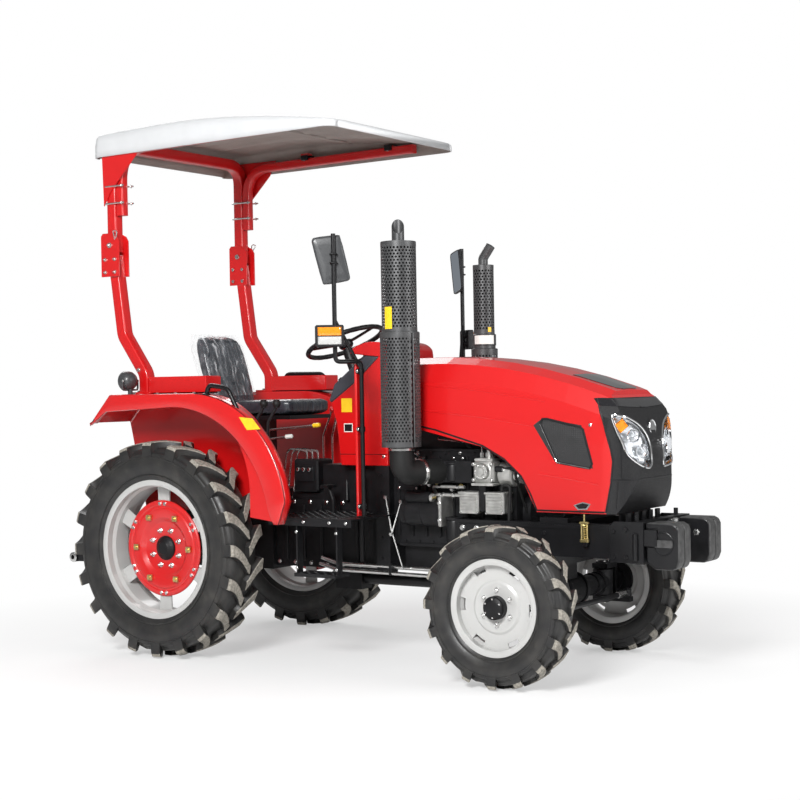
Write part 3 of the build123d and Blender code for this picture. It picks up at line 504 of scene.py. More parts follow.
def eased(made, width, angle):
    """Round a piece's sharp edges, by a width in metres."""
    bevel = made.modifiers.new("eased", "BEVEL")
    bevel.width = width
    bevel.segments = 3
    bevel.limit_method = "ANGLE"
    bevel.angle_limit = radians(angle)


def mirrored(points, side):
    """Places on the left as they are given, or the same places on the right."""
    return [(x, side * y, z) for x, y, z in points]


def upright(line, y):
    """Places of (x, z) at a distance across the tractor."""
    return [(x, y, z) for x, z in line]


# Wheels

# The rim's seat radius, the tyre's height on it and its width, the lugs' height, count a side and width
Tyre = namedtuple("Tyre", "seat section width lug count bar")
REAR_TYRE = Tyre(325, 210, 236, 28, 20, 52)
FRONT_TYRE = Tyre(196, 159, 160, 17, 16, 40)


def carcass_profile(size):
    """Half of a tyre's outline, from the bead to the crown, as (radius, y)."""
    half = size.width / 2
    crown = size.seat + size.section - size.lug
    bead = half - 30
    return curve_profile([
        (size.seat + 2, bead - 4),
        (size.seat + 20, bead + 4),
        (size.seat + size.section * 0.26, half - 10),
        (size.seat + size.section * 0.46, half - 1),
        (size.seat + size.section * 0.68, half - 6),
        (crown - 26, half - 20),
        (crown - 6, half * 0.62),
        (crown, 0.0),
    ], 5)


def crown_at(profile, y):
    """The carcass's radius at a distance from its middle, on the tread."""
    for (r0, y0), (r1, y1) in zip(profile[::-1], profile[-2::-1]):
        if y0 <= y <= y1:
            return r0 + (r1 - r0) * (y - y0) / max(y1 - y0, 1e-6)
    return profile[len(profile) // 2][0]


def tread_bar(build, profile, size, start, place):
    """One curved bar, from just past the middle of the tread down over the shoulder."""
    half = size.width / 2
    outer = size.seat + size.section
    lean = half * 0.86 / outer
    steps = 12
    shoulder = 0.8
    rows = []
    for i in range(steps + 1):
        t = i / steps
        y = half * (1.05 * t / shoulder - 0.05) if t < shoulder else half * 0.985 - 4 * (t - shoulder)
        share = min(1.0, max(0.0, y / half))
        turn = start - lean * (1 - (1 - share) ** 1.7)
        base = (outer - size.lug if share < 0.55 else crown_at(profile, min(abs(y), half * 0.93))) - 12
        top = outer - 10 * share ** 3
        if t >= shoulder:
            drop = (t - shoulder) / (1 - shoulder)
            base = outer - size.lug - 45 - 30 * drop
            top = outer - 12 - 62 * drop
        wide = size.bar * (0.92 + 0.2 * share)
        row = []
        crest = ((-0.62, base), (-0.5, top - 4), (-0.42, top), (0.42, top), (0.5, top - 4), (0.62, base))
        for offset, radius in crest:
            a = turn + offset * wide / outer
            row.append(place @ Vector((radius * cos(a), radius * sin(a), y)))
        rows.append(row)
    loft(build, rows, ends=True)
    across = len(rows[0]) - 1
    tops = []
    for i in range(steps):
        top_look = WORN if i < steps * shoulder else RUBBER
        tops += [RUBBER] + [top_look] * (across - 2) + [RUBBER]
    build.looks[-len(tops) - 2:-2] = tops


def tyre(name, body, centre, size):
    """A farm tyre: a smooth body, rings on its walls and two rows of curved bars."""
    made = Build(RUBBER)
    half_line = [(p.x, p.y) for p in carcass_profile(size)]
    spin(made, half_line + [(r, -y) for r, y in half_line[-2::-1]], wheel_place(centre, 1), 120)
    for side in (1, -1):
        place = wheel_place(centre, side)
        for share, thick in ((0.20, 4), (0.62, 4.5)):
            radius = size.seat + size.section * share
            y = [y for r, y in half_line if r >= radius][0]
            ring = [(radius + u, y + v) for u, v in ring_points(thick, 6)]
            spin(made, ring, place, 120, closed=True)
        for i in range(size.count):
            turn = 2 * pi * (i + (0.5 if side < 0 else 0)) / size.count
            tread_bar(made, half_line, size, turn, place)
    made.make(name + "_dressed", body, "tyre_rubber", [name], sharp=40)


def rim(centre, seat, half):
    """A pressed rim with rolled flanges and a drop centre."""
    made = Build(WHITE)
    outer = [(seat - 6, half - 2), (seat + 10, half), (seat + 17, half - 1), (seat + 18, half - 4),
             (seat + 6, half - 7), (seat, half - 11), (seat - 1, half - 40), (seat - 12, half - 52)]
    inner = [(seat - 10, half - 4), (seat - 9, half - 38), (seat - 19, half - 54)]
    outline = outer + [(r, -y) for r, y in outer[::-1]] + [(r, -y) for r, y in inner] + inner[::-1]
    spin(made, outline, wheel_place(centre, 1), 96, closed=True)
    return made


def rear_straps(made, centre, side):
    """Six straps from the rim to the disc."""
    strap = [(-34, 196), (34, 196), (40, 312), (-40, 312)]
    back = Matrix.Translation((0, 0, -16 if side > 0 else 6))
    for i in range(6):
        turn = Matrix.Rotation(2 * pi * i / 6, 4, "Y") @ Matrix.Rotation(pi / 2, 4, "X")
        prism(made, strap, 10, Matrix.Translation(centre) @ turn @ back, edge=2)


def rear_wheel(label, side):
    body = "rear_wheel_" + label
    x, y, z = REAR_WHEEL
    centre = (x, side * y, z)
    hub = wheel_place(centre, side)
    way = Vector((0, side, 0))
    tyre("rear_tyre_" + label, body, centre, REAR_TYRE)
    made = rim(centre, REAR_TYRE.seat, 96)
    rear_straps(made, centre, side)
    made.make("rear_rim_" + label + "_dressed", body, "white_paint", ["rear_rim_" + label], sharp=30)
    disc = Build(RED)
    front = [(60, 5), (128, 5), (134, 8), (150, 24), (158, 27), (196, 27), (202, 23), (210, 23), (216, 27),
             (232, 27), (238, 23)]
    back = [(238, 17), (164, 17), (156, 14), (138, -2), (130, -5), (60, -5)]
    spin(disc, front + back, hub, 96, closed=True)
    disc.make("rear_disc_" + label + "_dressed", body, "red_paint", ["rear_disc_" + label], sharp=30)
    metal = Build(STEEL)
    for place in round_about(hub, 172, 27, 6, pi / 6):
        prism(metal, rectangle(14, 14), 14, facing(place, way), ZINC, 2)
        cylinder(metal, place, place + way * 22, 8, 14, ZINC)
    for beside in (-0.075, 0.075):
        bolts(metal, round_about(hub, 222, 25, 6, beside), way, 9)
    bolts(metal, round_about(hub, 92, 5, 8, pi / 8), way, 11, stud=14)
    metal.make("rear_wheel_bolts_" + label, body, "bare_alloy")
    cap_piece = Build(IRON)
    spin(cap_piece, [(0.5, 30), (30, 30), (34, 26), (40, 24), (52, 16), (58, 8), (58, 4), (0.5, 4)], hub)
    cap_piece.make("rear_hub_cap_" + label, body, "black_iron")


def front_wheel(label, side):
    body = "front_wheel_" + label
    x, y, z = FRONT_WHEEL
    centre = (x, side * y, z)
    hub = wheel_place(centre, side)
    tyre("front_tyre_" + label, body, centre, FRONT_TYRE)
    made = rim(centre, FRONT_TYRE.seat, 58)
    front_disc(made, hub)
    made.make("front_rim_" + label + "_dressed", body, "white_paint", ["front_rim_" + label], sharp=30)
    metal = Build(STEEL)
    bolts(metal, round_about(hub, 75, 22, 6), (0, side, 0), 11, stud=12)
    metal.make("front_wheel_bolts_" + label, body, "bare_alloy")


def front_disc(made, hub):
    """The pressed disc, with gaps at its edge where it leaves the rim."""
    count = 96
    gaps = 6
    gap_half = 0.13
    thick = 6
    rings = [(52, 22), (88, 22), (96, 26), (108, 26), (118, 20), (150, 20), (160, 22), (187, 22)]
    size = len(rings)
    for depth in (0, thick):
        points = []
        faces = []
        for i in range(count):
            turn = 2 * pi * i / count
            points += [hub @ Vector((r * cos(turn), r * sin(turn), y - depth)) for r, y in rings]
            gap = abs(i / count * gaps % 1 - 0.5) < gap_half
            near = i * size
            far = (i + 1) % count * size
            bands = size - 2 if gap else size - 1
            faces += [(near + k, near + k + 1, far + k + 1, far + k) for k in range(bands)]
        made.add(points, faces)


def wheels():
    for label, side in SIDES.items():
        rear_wheel(label, side)
        front_wheel(label, side)


# Exhaust and air intake

def perforated(build, place, radius, low, high, start=0.0, sweep=2 * pi):
    """Perforated sheet bent round a place's z: staggered holes between plain end bands."""
    thick = 2
    pitch = 16.5
    hole = 5.3
    band = 22
    columns = round(radius * sweep / pitch)
    wide = sweep / columns
    rows = round((high - low - 2 * band) / (pitch * 0.87))
    tall = (high - low - 2 * band) / rows
    corners = [(-1, -1), (0, -1), (1, -1), (1, 0), (1, 1), (0, 1), (-1, 1), (-1, 0)]
    for row in range(rows):
        for column in range(columns):
            middle = start + wide * (column + 0.5 + 0.5 * (row % 2))
            height = low + band + tall * (row + 0.5)
            points = []
            for layer in (radius, radius - thick):
                for u, v in corners:
                    points.append((middle + u * wide / 2, height + v * tall / 2, layer))
                for u, v in corners:
                    share = hole / (u * u + v * v) ** 0.5
                    points.append((middle + u * share / radius, height + v * share, layer))
            faces = []
            for k in range(8):
                n = (k + 1) % 8
                faces.append((k, n, n + 8, k + 8))
                faces.append((k + 16, k + 24, n + 24, n + 16))
                faces.append((k + 8, n + 8, n + 24, k + 24))
            build.add([place @ Vector((r * cos(a), r * sin(a), z)) for a, z, r in points], faces)
    for z0, z1 in ((low, low + band), (high - band, high)):
        ring = [(radius - thick, z0), (radius + 0.6, z0), (radius + 0.6, z1), (radius - thick, z1)]
        spin(build, ring, place, 64, None, True, start, sweep + wide / 2)


def patch(build, place, radius, low, high, half, look):
    """A blank label bent round a guard, facing a place's own x."""
    rows = []
    for i in range(7):
        turn = -half + 2 * half * i / 6
        x = (radius + 1.2) * cos(turn)
        y = (radius + 1.2) * sin(turn)
        rows.append([place @ Vector((x, y, z)) for z in (low, high)])
    loft(build, rows, look)


def elbow_pipe(build, y, radius):
    """The moulded elbow below a stack, with ribs at its mouth and a clamp at its end."""
    corner = Vector((1285, y, 915))
    end = Vector((1375, y + (190 if y < 0 else -190), 915))
    line = bent([(1285, y, 1040), corner, end], 75, 12)
    tube(build, line, radius, 28, HOSE)
    way = (end - corner).normalized()
    spot = line[-2] + way * 45
    clamp = [(radius, -10), (radius + 5, -9), (radius + 6, 0), (radius + 5, 9), (radius, 10)]
    spin(build, clamp, facing(spot, way), 40, STEEL)
    cylinder(build, spot + Vector((-12, 0, radius + 8)), spot + Vector((16, 0, radius + 8)), 5, 12, STEEL)
    collar = [(radius, 1018), (radius + 4, 1020), (radius + 4, 1030), (radius, 1034)]
    spin(build, collar, Matrix.Translation((1285, y, 0)), 40, STEEL)


def exhaust():
    """The silencer in its two perforated guards, the slash-cut outlet and the elbow with its clamp."""
    made = Build(GUARD)
    y = -380
    foot = Matrix.Translation((1285, y, 0))
    slot_way = radians(-20)
    slot_half = radians(6)
    perforated(made, foot, 92, 1036, 1563, slot_way + slot_half, 2 * pi - 2 * slot_half)
    perforated(made, foot, 82, 1563, 1981)
    for turn in (slot_way - slot_half, slot_way + slot_half):
        tube(made, [foot @ Vector((91.5 * cos(turn), 91.5 * sin(turn), z)) for z in (1037, 1562)], 3.5, 8)
    spin(made, [(30, 1975), (76, 1975), (81, 1979), (81, 1983), (29, 1985)], foot)
    spin(made, [(62, 1040), (62, 1950), (40, 1974), (29, 1974)], foot, 40, BLACK)
    spin(made, [(60, 1563), (82, 1563), (91, 1560), (91, 1566), (83, 1568)], foot)
    low, high = (foot @ Vector((71 * cos(slot_way), 71 * sin(slot_way), z)) for z in (1138, 1431))
    cylinder(made, low, high, 8.5, 16, STEEL, 2)
    cut_way = radians(-56)
    rows = []
    for i in range(33):
        turn = 2 * pi * i / 32
        top = 2089 - 34 * (1 + cos(turn - cut_way))
        ring = [(29, 1975), (29, top - 2), (27.5, top), (26, top - 2), (26, 1990)]
        rows.append([foot @ Vector((r * cos(turn), r * sin(turn), z)) for r, z in ring])
    loft(made, rows)
    elbow_pipe(made, y, 58)
    patch(made, foot @ Matrix.Rotation(radians(-94), 4, "Z"), 83, 1580, 1681, radians(14), YELLOW)
    made.make("exhaust_dressed", "chassis", "black_paint", ["exhaust_stack"])


def intake():
    """The narrower air intake on the left, with a bent mouth and a blank band."""
    made = Build(GUARD)
    y = 375
    foot = Matrix.Translation((1285, y, 0))
    perforated(made, foot, 66, 1036, 1490)
    perforated(made, foot, 52, 1570, 1915)
    neck = [(50, 1490), (67, 1490), (67, 1496), (56, 1500), (56, 1512), (59, 1514), (59, 1568), (52, 1572)]
    spin(made, neck, foot)
    spin(made, [(30, 1040), (40, 1050), (36, 1900), (24, 1912)], foot, 32, BLACK)
    spin(made, [(24, 1910), (50, 1911), (52.5, 1916), (24, 1919)], foot, 40)
    pipe(made, [(1285, y, 1900), (1285, y, 1950), (1330, y, 2010)], 30, 24, 24, steps=8)
    patch(made, foot @ Matrix.Rotation(radians(-60), 4, "Z"), 59.2, 1520, 1563, radians(52), LABEL_WHITE)
    patch(made, foot @ Matrix.Rotation(radians(-28), 4, "Z"), 52.5, 1580, 1604, radians(10), YELLOW)
    elbow_pipe(made, y, 52)
    made.make("intake_dressed", "chassis", "black_paint", ["intake_stack"])


# Fenders

def arc_points(middle, radius, angle, count):
    """Points of (x, z) down a fender's arc, from its top forward."""
    turns = [radians(angle * i / count) for i in range(count + 1)]
    return [(middle[0] + radius * sin(turn), middle[1] + radius * cos(turn)) for turn in turns]


def between(start, end, count):
    """Points along a straight line, without its start."""
    return [tuple(a + (b - a) * i / count for a, b in zip(start, end)) for i in range(1, count + 1)]


def crease_line():
    """The fender's outer crease as (x, z), from the rear tip to the foot."""
    line = [(-401, 1159)] + between((-401, 1159), (-266, 1300), 4) + between((-266, 1300), (268, 1300), 8)
    line += arc_points((268, 728), 572, 84, 32)[1:]
    return line + between(line[-1], (796, 684), 4)


def lip_line():
    """The fender's lip, with a point for each of the crease's."""
    line = [(-401, 1147)] + between((-401, 1147), (-296, 1214), 4) + between((-296, 1214), (150, 1234), 8)
    line += arc_points((150, 640), 594, 80, 32)[1:]
    return line + between(line[-1], (764, 684), 4)


def fender_band(label, side):
    """The fender's outer band with its rolled lip."""
    band = Build(RED)
    rows = []
    for crease, lip in zip(crease_line(), lip_line()):
        way = Vector(lip) - Vector(crease)
        long = way.length
        way = way / long
        section = ((640, 0), (655, 0), (676, 0), (683, 1.5), (688, 6), (690, 14), (690, long - 7),
                   (688, long - 2), (683, long), (674, long), (670, long - 3))
        rows.append([(crease[0] + way.x * down, side * y, crease[1] + way.y * down) for y, down in section])
    loft(band, rows)
    made = band.make("fender_band_" + label, "chassis", "red_paint", ["fender_" + label], sharp=42)
    thicken(made, 0.005)


def fender(label, side):
    """A fender: the outer band, the wheel house behind it and the roll bar's beam."""
    fender_band(label, side)
    house = Build(RED)
    line = [(-401, 1159), (-334, 1229), (-266, 1300), (-60, 1300)]
    line += arc_points((110, 820), 480, 90, 24) + [(590, 709)]
    inner = 401
    top = []
    for x, z in line:
        top.append([(x, side * y, z) for y in (641, 500, 412, 404)] + [(x - 1, side * inner, z - 8)])
    loft(house, top)
    cap(house, [(x, side * inner, z - 8) for x, z in line] + [(-300, side * inner, 709)])
    crease = crease_line()[5:]
    beside = between((-266, 1300), (110, 1300), 7) + arc_points((110, 820), 480, 90, 30)
    beside += between((590, 820), (590, 709), len(crease) - len(beside))
    loft(house, [upright(pair, side * 641) for pair in zip(crease, beside)])
    # A thin black line along the crease: painted shade in the fold.
    tube(house, upright(crease_line()[13:], side * 689), 1.6, 6, PLASTIC)
    house.make("fender_house_" + label, "chassis", "red_paint", sharp=42)
    beam = Build(RED)
    box(beam, (-135, side * 430, 1306), (245, side * 545, 1385), edge=4)
    box(beam, (-110, side * 440, 1299), (230, side * 535, 1307), BLACK, 1)
    bolts(beam, [(x, side * 560, 1300) for x in (-60, 60, 180)], UP, 8, STEEL)
    beam.make("fender_beam_" + label, "chassis", "red_paint")


# Roof

ROOF_REAR = -503
ROOF_FRONT = 1030
ROOF_HALF = 546


def roof_top(x):
    """The roof's height along its length, highest a little behind its middle."""
    peak = 100
    if x < peak:
        return 2653 - 16 * ((peak - x) / 563) ** 2
    return 2653 - 90 * ((x - peak) / 930) ** 1.7


def roof_section(x):
    """The roof from its left edge to its right edge at one place, with shallow ribs along it."""
    corner = 60
    short = min(x - ROOF_REAR, ROOF_FRONT - x)
    half = ROOF_HALF - (corner - (corner ** 2 - (corner - short) ** 2) ** 0.5 if short < corner else 0)
    back = min(1.0, (x - ROOF_REAR) / 46)
    top = 2522 + (roof_top(x) - 2522) * (1 - (1 - back) ** 2.2) ** 0.5
    low = 2515 + 12 * (x - ROOF_REAR) / (ROOF_FRONT - ROOF_REAR)
    high = max(top - low, 2.0)
    edge = ((0, 0), (0, 0.35), (1, 0.62), (7, 0.84), (22, 0.95), (48, 0.985))
    line = [(half - inset, low + high * share) for inset, share in edge]
    for i in range(25):
        y = (half - 75) * (1 - i / 24)
        from_rib = y % 190 - 95
        rib = 7 * max(0.0, cos(pi * from_rib / 60)) if abs(from_rib) < 30 else 0.0
        ends = min(1.0, max(0.0, (x + 380) / 60), max(0.0, (820 - x) / 60))
        line.append((y, low + high - rib * ends))
    return [(x, y, z) for y, z in line + [(-y, z) for y, z in line[-2::-1]]]


def canopy():
    """The white roof: a thin moulded shell, its underside bare and grey-brown."""
    made = Build(ROOF)
    places = [ROOF_REAR, -500, -494, -484, -472, -458, -443] + [-443 + 1413 * i / 30 for i in range(1, 31)]
    places += [990, 1008, 1020, 1027, ROOF_FRONT]
    loft(made, [roof_section(x) for x in places])
    cap(made, roof_section(ROOF_FRONT))
    roof = made.make("canopy_dressed", "roll_bar", "white_paint", ["canopy"], sharp=50)
    roof.data.materials.append(ROOF_UNDER)
    thicken(roof, 0.007).material_offset = 1
    under = Build(ROOF_UNDER)
    rows = []
    for i in range(13):
        y = -500 + 1000 * i / 12
        rows.append([(x, y, roof_top(x) - deep) for x, deep in ((330, 9), (336, 16), (394, 16), (400, 9))])
    loft(under, rows)
    under.make("canopy_cross_rib", "roll_bar", "white_paint")
    clips = Build(PLASTIC)
    for y in (500, -500):
        for x, top in ((75, 2588), (630, 2592)):
            box(clips, (x, y - 34, 2562), (x + 44, y + 34, top), edge=2)
            bolt(clips, (x + 22, y - 29, 2562), (0, 0, -1), 6, STEEL)
    clips.make("canopy_clips", "roll_bar", "black_plastic")


# Roll bar

def u_bolt(build, middle, half_x, half_y):
    """A bolt bent round two square tubes, with its two nuts in front."""
    x, y, z = middle
    rear = x - half_x - 6
    front = x + half_x + 22
    corners = [(front, y - half_y, z), (rear, y - half_y, z), (rear, y + half_y, z), (front, y + half_y, z)]
    pipe(build, corners, 12, 4.5, 10, STEEL, 4)
    bolts(build, [(x + half_x + 6, y - half_y, z), (x + half_x + 6, y + half_y, z)], AHEAD, 7.5, STEEL)


def lower_posts():
    """The posts from the fenders to the fold joints, with cheeks, pins and foot plates."""
    made = Build(RED)
    cheek = [(-447, 1902), (-323, 1902), (-323, 2084), (-337, 2106), (-365, 2124), (-435, 2124),
             (-447, 2110)]
    pins = ((-385, 2062, 12), (-352, 1990, 8), (-418, 1990, 8), (-352, 1925, 8), (-418, 1925, 8))
    for side in SIDES.values():
        post = upright([(-185, 1300), (-185, 1400), (-330, 1600), (-385, 2010)], side * 500)
        square_tube(made, bent(post, 90, 10), 30, (0, 1, 0))
        foot = [(-75, -50), (65, -50), (65, 50), (-75, 50)]
        prism(made, foot, 10, Matrix.Translation((-185, side * 500, 1300)), edge=2)
        for y in (470, 538):
            side_prism(made, cheek, side * y - 4, side * y + 4, edge=2)
        way = Vector((0, side, 0))
        for x, z, size in pins:
            bolt(made, (x, side * 542, z), way, size, STEEL, 10)
            bolt(made, (x, side * 462, z), -way, size, STEEL)
        lynch = [(-340, 543, 2095), (-320, 552, 2130), (-352, 552, 2135), (-348, 543, 2090)]
        pipe(made, mirrored(lynch, side), 10, 3, 8, STEEL)
        bolts(made, [(x, side * 500, 1310) for x in (-240, -130)], UP, 10, STEEL)
        bolt(made, (-212, side * 531, 1422), way, 9, STEEL)
    made.make("roll_bar_posts_dressed", "chassis", "red_paint", ["rops_posts"])


def upper_hoop():
    """The folding hoop, the roof's arms, the gussets and the bolts that clamp them."""
    made = Build(RED)
    corners = [(-385, 500, 2028), (-385, 500, 2573), (-385, -500, 2573), (-385, -500, 2028)]
    square_tube(made, bent(corners, 110, 10), 29, AHEAD)
    gusset = [(-435, 2590), (-150, 2590), (-194, 2508), (-380, 2332), (-425, 2264)]
    for side in SIDES.values():
        y = side * 500
        arm = [(-333, y, 2212), (-333, y, 2545), (800, y, 2560)]
        square_tube(made, bent(arm, 170, 12), 23, (0, 1, 0))
        side_prism(made, gusset, side * 533.5 - 3, side * 533.5 + 3, edge=1.5)
        for z in (2275, 2362):
            u_bolt(made, (-362, y, z), 52, 35)
        bolts(made, [(-357, side * 537, 2575), (-198, side * 537, 2567)], (0, side, 0), 8, STEEL)
        for x, top in ((90, 2600), (650, 2588)):
            box(made, (x - 26, y - 20, 2560), (x + 26, y + 20, top), edge=2)
    made.make("roll_bar_hoop_dressed", "roll_bar", "red_paint", ["rops_hoop"])


# Hood and nose

def surface(*names):
    """The outer faces of some nodes, to lay thin pieces on."""
    points = []
    faces = []
    for name in names:
        start = len(points)
        for vertex in nodes[name].data.vertices:
            x, y, z = nodes[name].matrix_world @ vertex.co
            points.append(((x - AXLE) * 1000, y * 1000, z * 1000))
        faces += [tuple(start + i for i in p.vertices) for p in nodes[name].data.polygons]
    return BVHTree.FromPolygons(points, faces)


def lie(tree, place, way, rise):
    """Where a place lands on a surface along a direction, raised a little off it."""
    run = Vector(way).normalized()
    spot = tree.ray_cast(Vector(place) - run * 600, run)
    if spot[0] is None:
        return tree.find_nearest(Vector(place))[0] - run * rise
    normal = spot[1] if spot[1].dot(run) < 0 else -spot[1]
    return spot[0] + normal * rise


def laid(build, outline, tree, way, rise, look=None, cell=20):
    """A thin panel with a closed outline, laid over a curved surface along a direction."""
    flat = bmesh.new()
    flat.faces.new([flat.verts.new(p) for p in outline])
    bmesh.ops.triangulate(flat, faces=flat.faces)
    for turn in range(5):
        long = [e for e in flat.edges if e.calc_length() > cell]
        if not long:
            break
        bmesh.ops.subdivide_edges(flat, edges=long, cuts=1)
        bmesh.ops.triangulate(flat, faces=flat.faces)
    flat.verts.ensure_lookup_table()
    flat.verts.index_update()
    top = [lie(tree, v.co, way, rise) for v in flat.verts]
    low = [lie(tree, v.co, way, -1) for v in flat.verts]
    faces = [tuple(v.index for v in f.verts) for f in flat.faces]
    size = len(top)
    for edge in flat.edges:
        if len(edge.link_faces) == 1:
            a, b = (v.index for v in edge.verts)
            faces.append((a, b, b + size, a + size))
    build.add(top + low, faces, look)
    flat.free()


def seam(build, line, tree, way, wide, rise, look=None):
    """A narrow strip along a line on a surface, rounded across."""
    places = [Vector(p) for p in line]
    fine = []
    for a, b in zip(places, places[1:]):
        steps = max(1, int((b - a).length / 25))
        fine += [a.lerp(b, i / steps) for i in range(steps)]
    fine.append(places[-1])
    run = Vector(way).normalized()
    strip = ((-0.5, -0.3), (-0.35, 0.8), (0, 1), (0.35, 0.8), (0.5, -0.3))
    rows = []
    for behind, p, ahead in zip(fine[:1] + fine, fine, fine[1:] + fine[-1:]):
        across = (ahead - behind).normalized().cross(run).normalized()
        rows.append([lie(tree, p + across * wide * u, way, rise * h) for u, h in strip])
    loft(build, rows, look)


def hood_dress():
    """The hood's top insert, pressed side lines, window frames, edge trims, pins and badge plates."""
    tree = surface("hood_shell", "front_mask", "headlamps", "hood_mesh")
    made = Build(GLOSS)
    insert = [(2050, -128), (2250, -103), (2268, -60), (2268, 60), (2250, 103), (2050, 128)]
    pressed = ([(1316, 1322), (1640, 1292), (1978, 1240)], [(1320, 1204), (1640, 1172), (1914, 1130)],
               [(1940, 916), (2051, 903), (2240, 874)])
    window = [(1955, 1138), (1966, 1160), (1988, 1160), (2153, 1124), (2168, 1113), (2211, 963), (2199, 943),
              (2038, 968)]
    badge = [(2119, 781), (2164, 796), (2203, 788), (2186, 763), (2140, 760)]
    inset = [(2162 + (x - 2162) * 0.78, 778 + (z - 778) * 0.70) for x, z in badge]
    arch = [(1135, 1164), (1400, 1111), (1654, 1039), (1766, 980), (1854, 903), (1900, 825), (1932, 753),
            (2268, 752)]
    rear = [(1127, 1165), (1127, 1330)]
    laid(made, [(x, y, 1400) for x, y in insert], tree, (0, 0, -1), 2.5, cell=40)
    for side in SIDES.values():
        inward = (0, -side, 0)
        y = side * 268
        for line in pressed:
            seam(made, upright(line, y), tree, inward, 10, 2.2, RED)
        corners = upright(window, y)
        seam(made, corners + corners[:1], tree, inward, 12, 4, PLASTIC)
        seam(made, [corners[0], corners[-1], corners[-2]], tree, (0, -side, 0.4), 5, 5.2, CHROME)
        laid(made, upright(badge, side * 270), tree, inward, 5, CHROME)
        laid(made, upright(inset, side * 270), tree, inward, 5.8, PLASTIC)
        bolt(made, lie(tree, (2202, y, 1133), inward, 0), (0, side, 0), 7, CHROME)
        seam(made, upright(arch, y), tree, inward, 9, 3, PLASTIC)
        seam(made, upright(rear, y), tree, inward, 8, 3, PLASTIC)
    made.make("hood_trim", "hood", "red_paint")


def mask_dress():
    """The nose's glossy cap band and the seams between its panels."""
    tree = surface("hood_shell", "front_mask", "headlamps")
    made = Build(PLASTIC)
    band = [(2226, 250, 1249), (2262, 240, 1250), (2330, 205, 1246), (2361, 92, 1243), (2368, 0, 1243),
            (2378, 0, 1204), (2375, 72, 1204), (2350, 200, 1210), (2300, 240, 1214), (2243, 252, 1218)]
    edge = [(2226, 262, 1246), (2262, 266, 1155), (2292, 264, 1060), (2306, 262, 975), (2296, 264, 873),
            (2272, 267, 750)]
    short = ([(2301, 263, 1042), (2344, 243, 1037)], [(2346, 243, 1037), (2346, 243, 895)],
             [(2330, 250, 885), (2320, 255, 765)])
    low = [(2298, 263, 894), (2370, 222, 893), (2402, 140, 892), (2410, 60, 892), (2411, 0, 892)]
    for side in SIDES.values():
        slant = (-1, -0.75 * side, 0)
        laid(made, mirrored(band, side), tree, slant, 2.5, GLOSS, 25)
        seam(made, mirrored(edge, side), tree, (0, -side, 0), 8, 3)
        for line in short:
            seam(made, mirrored(line, side), tree, slant, 5, 1.5)
        seam(made, mirrored(low, side), tree, slant, 8, 2)
        seam(made, [(2409, side * 70, 1052), (2409, 0, 1052)], tree, (-1, 0, 0), 5, 1.5)
    spot = lie(tree, (2405, 0, 1115), (-1, 0, 0), 0)
    spin(made, [(34, -4), (36, 4), (32, 6), (29, 3), (0.5, 3)], facing(spot, (1, 0, 0.08)), 40, CHROME)
    made.make("nose_trim", "hood", "black_plastic")


LAMP_OUTLINE = [
    (2306, 256, 1174), (2345, 240, 1170), (2379, 212, 1159), (2396, 139, 1125), (2406, 90, 1071),
    (2412, 74, 995), (2412, 82, 943), (2405, 163, 952), (2370, 222, 997), (2350, 239, 1055),
    (2329, 252, 1108),
]


def headlamp(label, side):
    """A headlamp in a chrome edge: a clear cover, a bright bowl, two reflectors and an amber lamp."""
    tree = surface("front_mask", "headlamps")
    slant = Vector((-1, -0.8 * side, 0)).normalized()
    outline = [Vector(p) for p in mirrored(LAMP_OUTLINE, side)]
    count = len(outline)
    smooth = []
    for i in range(count):
        around = [outline[(i + k - 1) % count] for k in range(4)]
        smooth += [curve_step(*around, step / 4) for step in range(4)]
    made = Build(CHROME)
    lip = [lie(tree, p, slant, 1) for p in smooth]
    tube(made, lip, 5.5, 8, closed=True)
    middle = sum(lip, Vector()) / len(lip)
    inner = [p.lerp(middle, 0.06) for p in lip]
    deep = [p.lerp(middle, 0.22) + slant * 30 for p in lip]
    loft(made, ringed([inner, deep]))
    cap(made, deep, look=REFLECTOR)
    for x, y, z, size in ((2372, 178, 1083, 30), (2388, 130, 1012, 33)):
        cup = facing(Vector((x, side * y, z)) + slant * 16, -slant)
        spin(made, [(size, 6), (size - 3, 9), (size * 0.8, -2), (size * 0.4, -10), (0.5, -12)], cup, 32)
        spin(made, [(9, -12), (9, 2), (5, 6), (0.5, 7)], cup, 20, CLEAR_LENS)
    spot = Vector((2340, side * 232, 1128)) + slant * 12
    prism(made, rectangle(22, 24), 12, facing(spot, -slant), AMBER, 4)
    made.make("headlamp_bowl_" + label, "hood", "lamp_glass", ["headlamps"] if side > 0 else ())
    cover = Build(COVER)
    laid(cover, smooth, tree, slant, 2, cell=30)
    cover.make("headlamp_cover_" + label, "hood", "lamp_glass")


def latch():
    """The brass-coloured spring latches that hold the hood's front down."""
    made = Build(ZINC)
    for side in SIDES.values():
        x, y = 2165, side * 262
        cylinder(made, (x, y, 742), (x, y, 700), 4, 10)
        tube(made, [(x + 9 * cos(t * 0.9), y + 9 * sin(t * 0.9), 700 - t * 1.15) for t in range(60)], 2.2, 6)
        for dx in (-14, 14):
            cylinder(made, (x + dx, y, 705), (x + dx, y, 628), 3.5, 10)
        box(made, (x - 20, y - 7, 618), (x + 20, y + 7, 632), edge=2)
        box(made, (x - 22, y - 8, 698), (x + 22, y + 8, 708), edge=2)
        box(made, (x - 12, side * 240, 600), (x + 12, y, 620), BLACK, 2)
    made.make("hood_latches", "chassis", "bare_alloy")


# Console, steering wheel and mirrors

CONSOLE_HALF = 190
CONSOLE_FACE = [(740, 1241), (894, 1344), (1029, 1460), (949, 1469)]


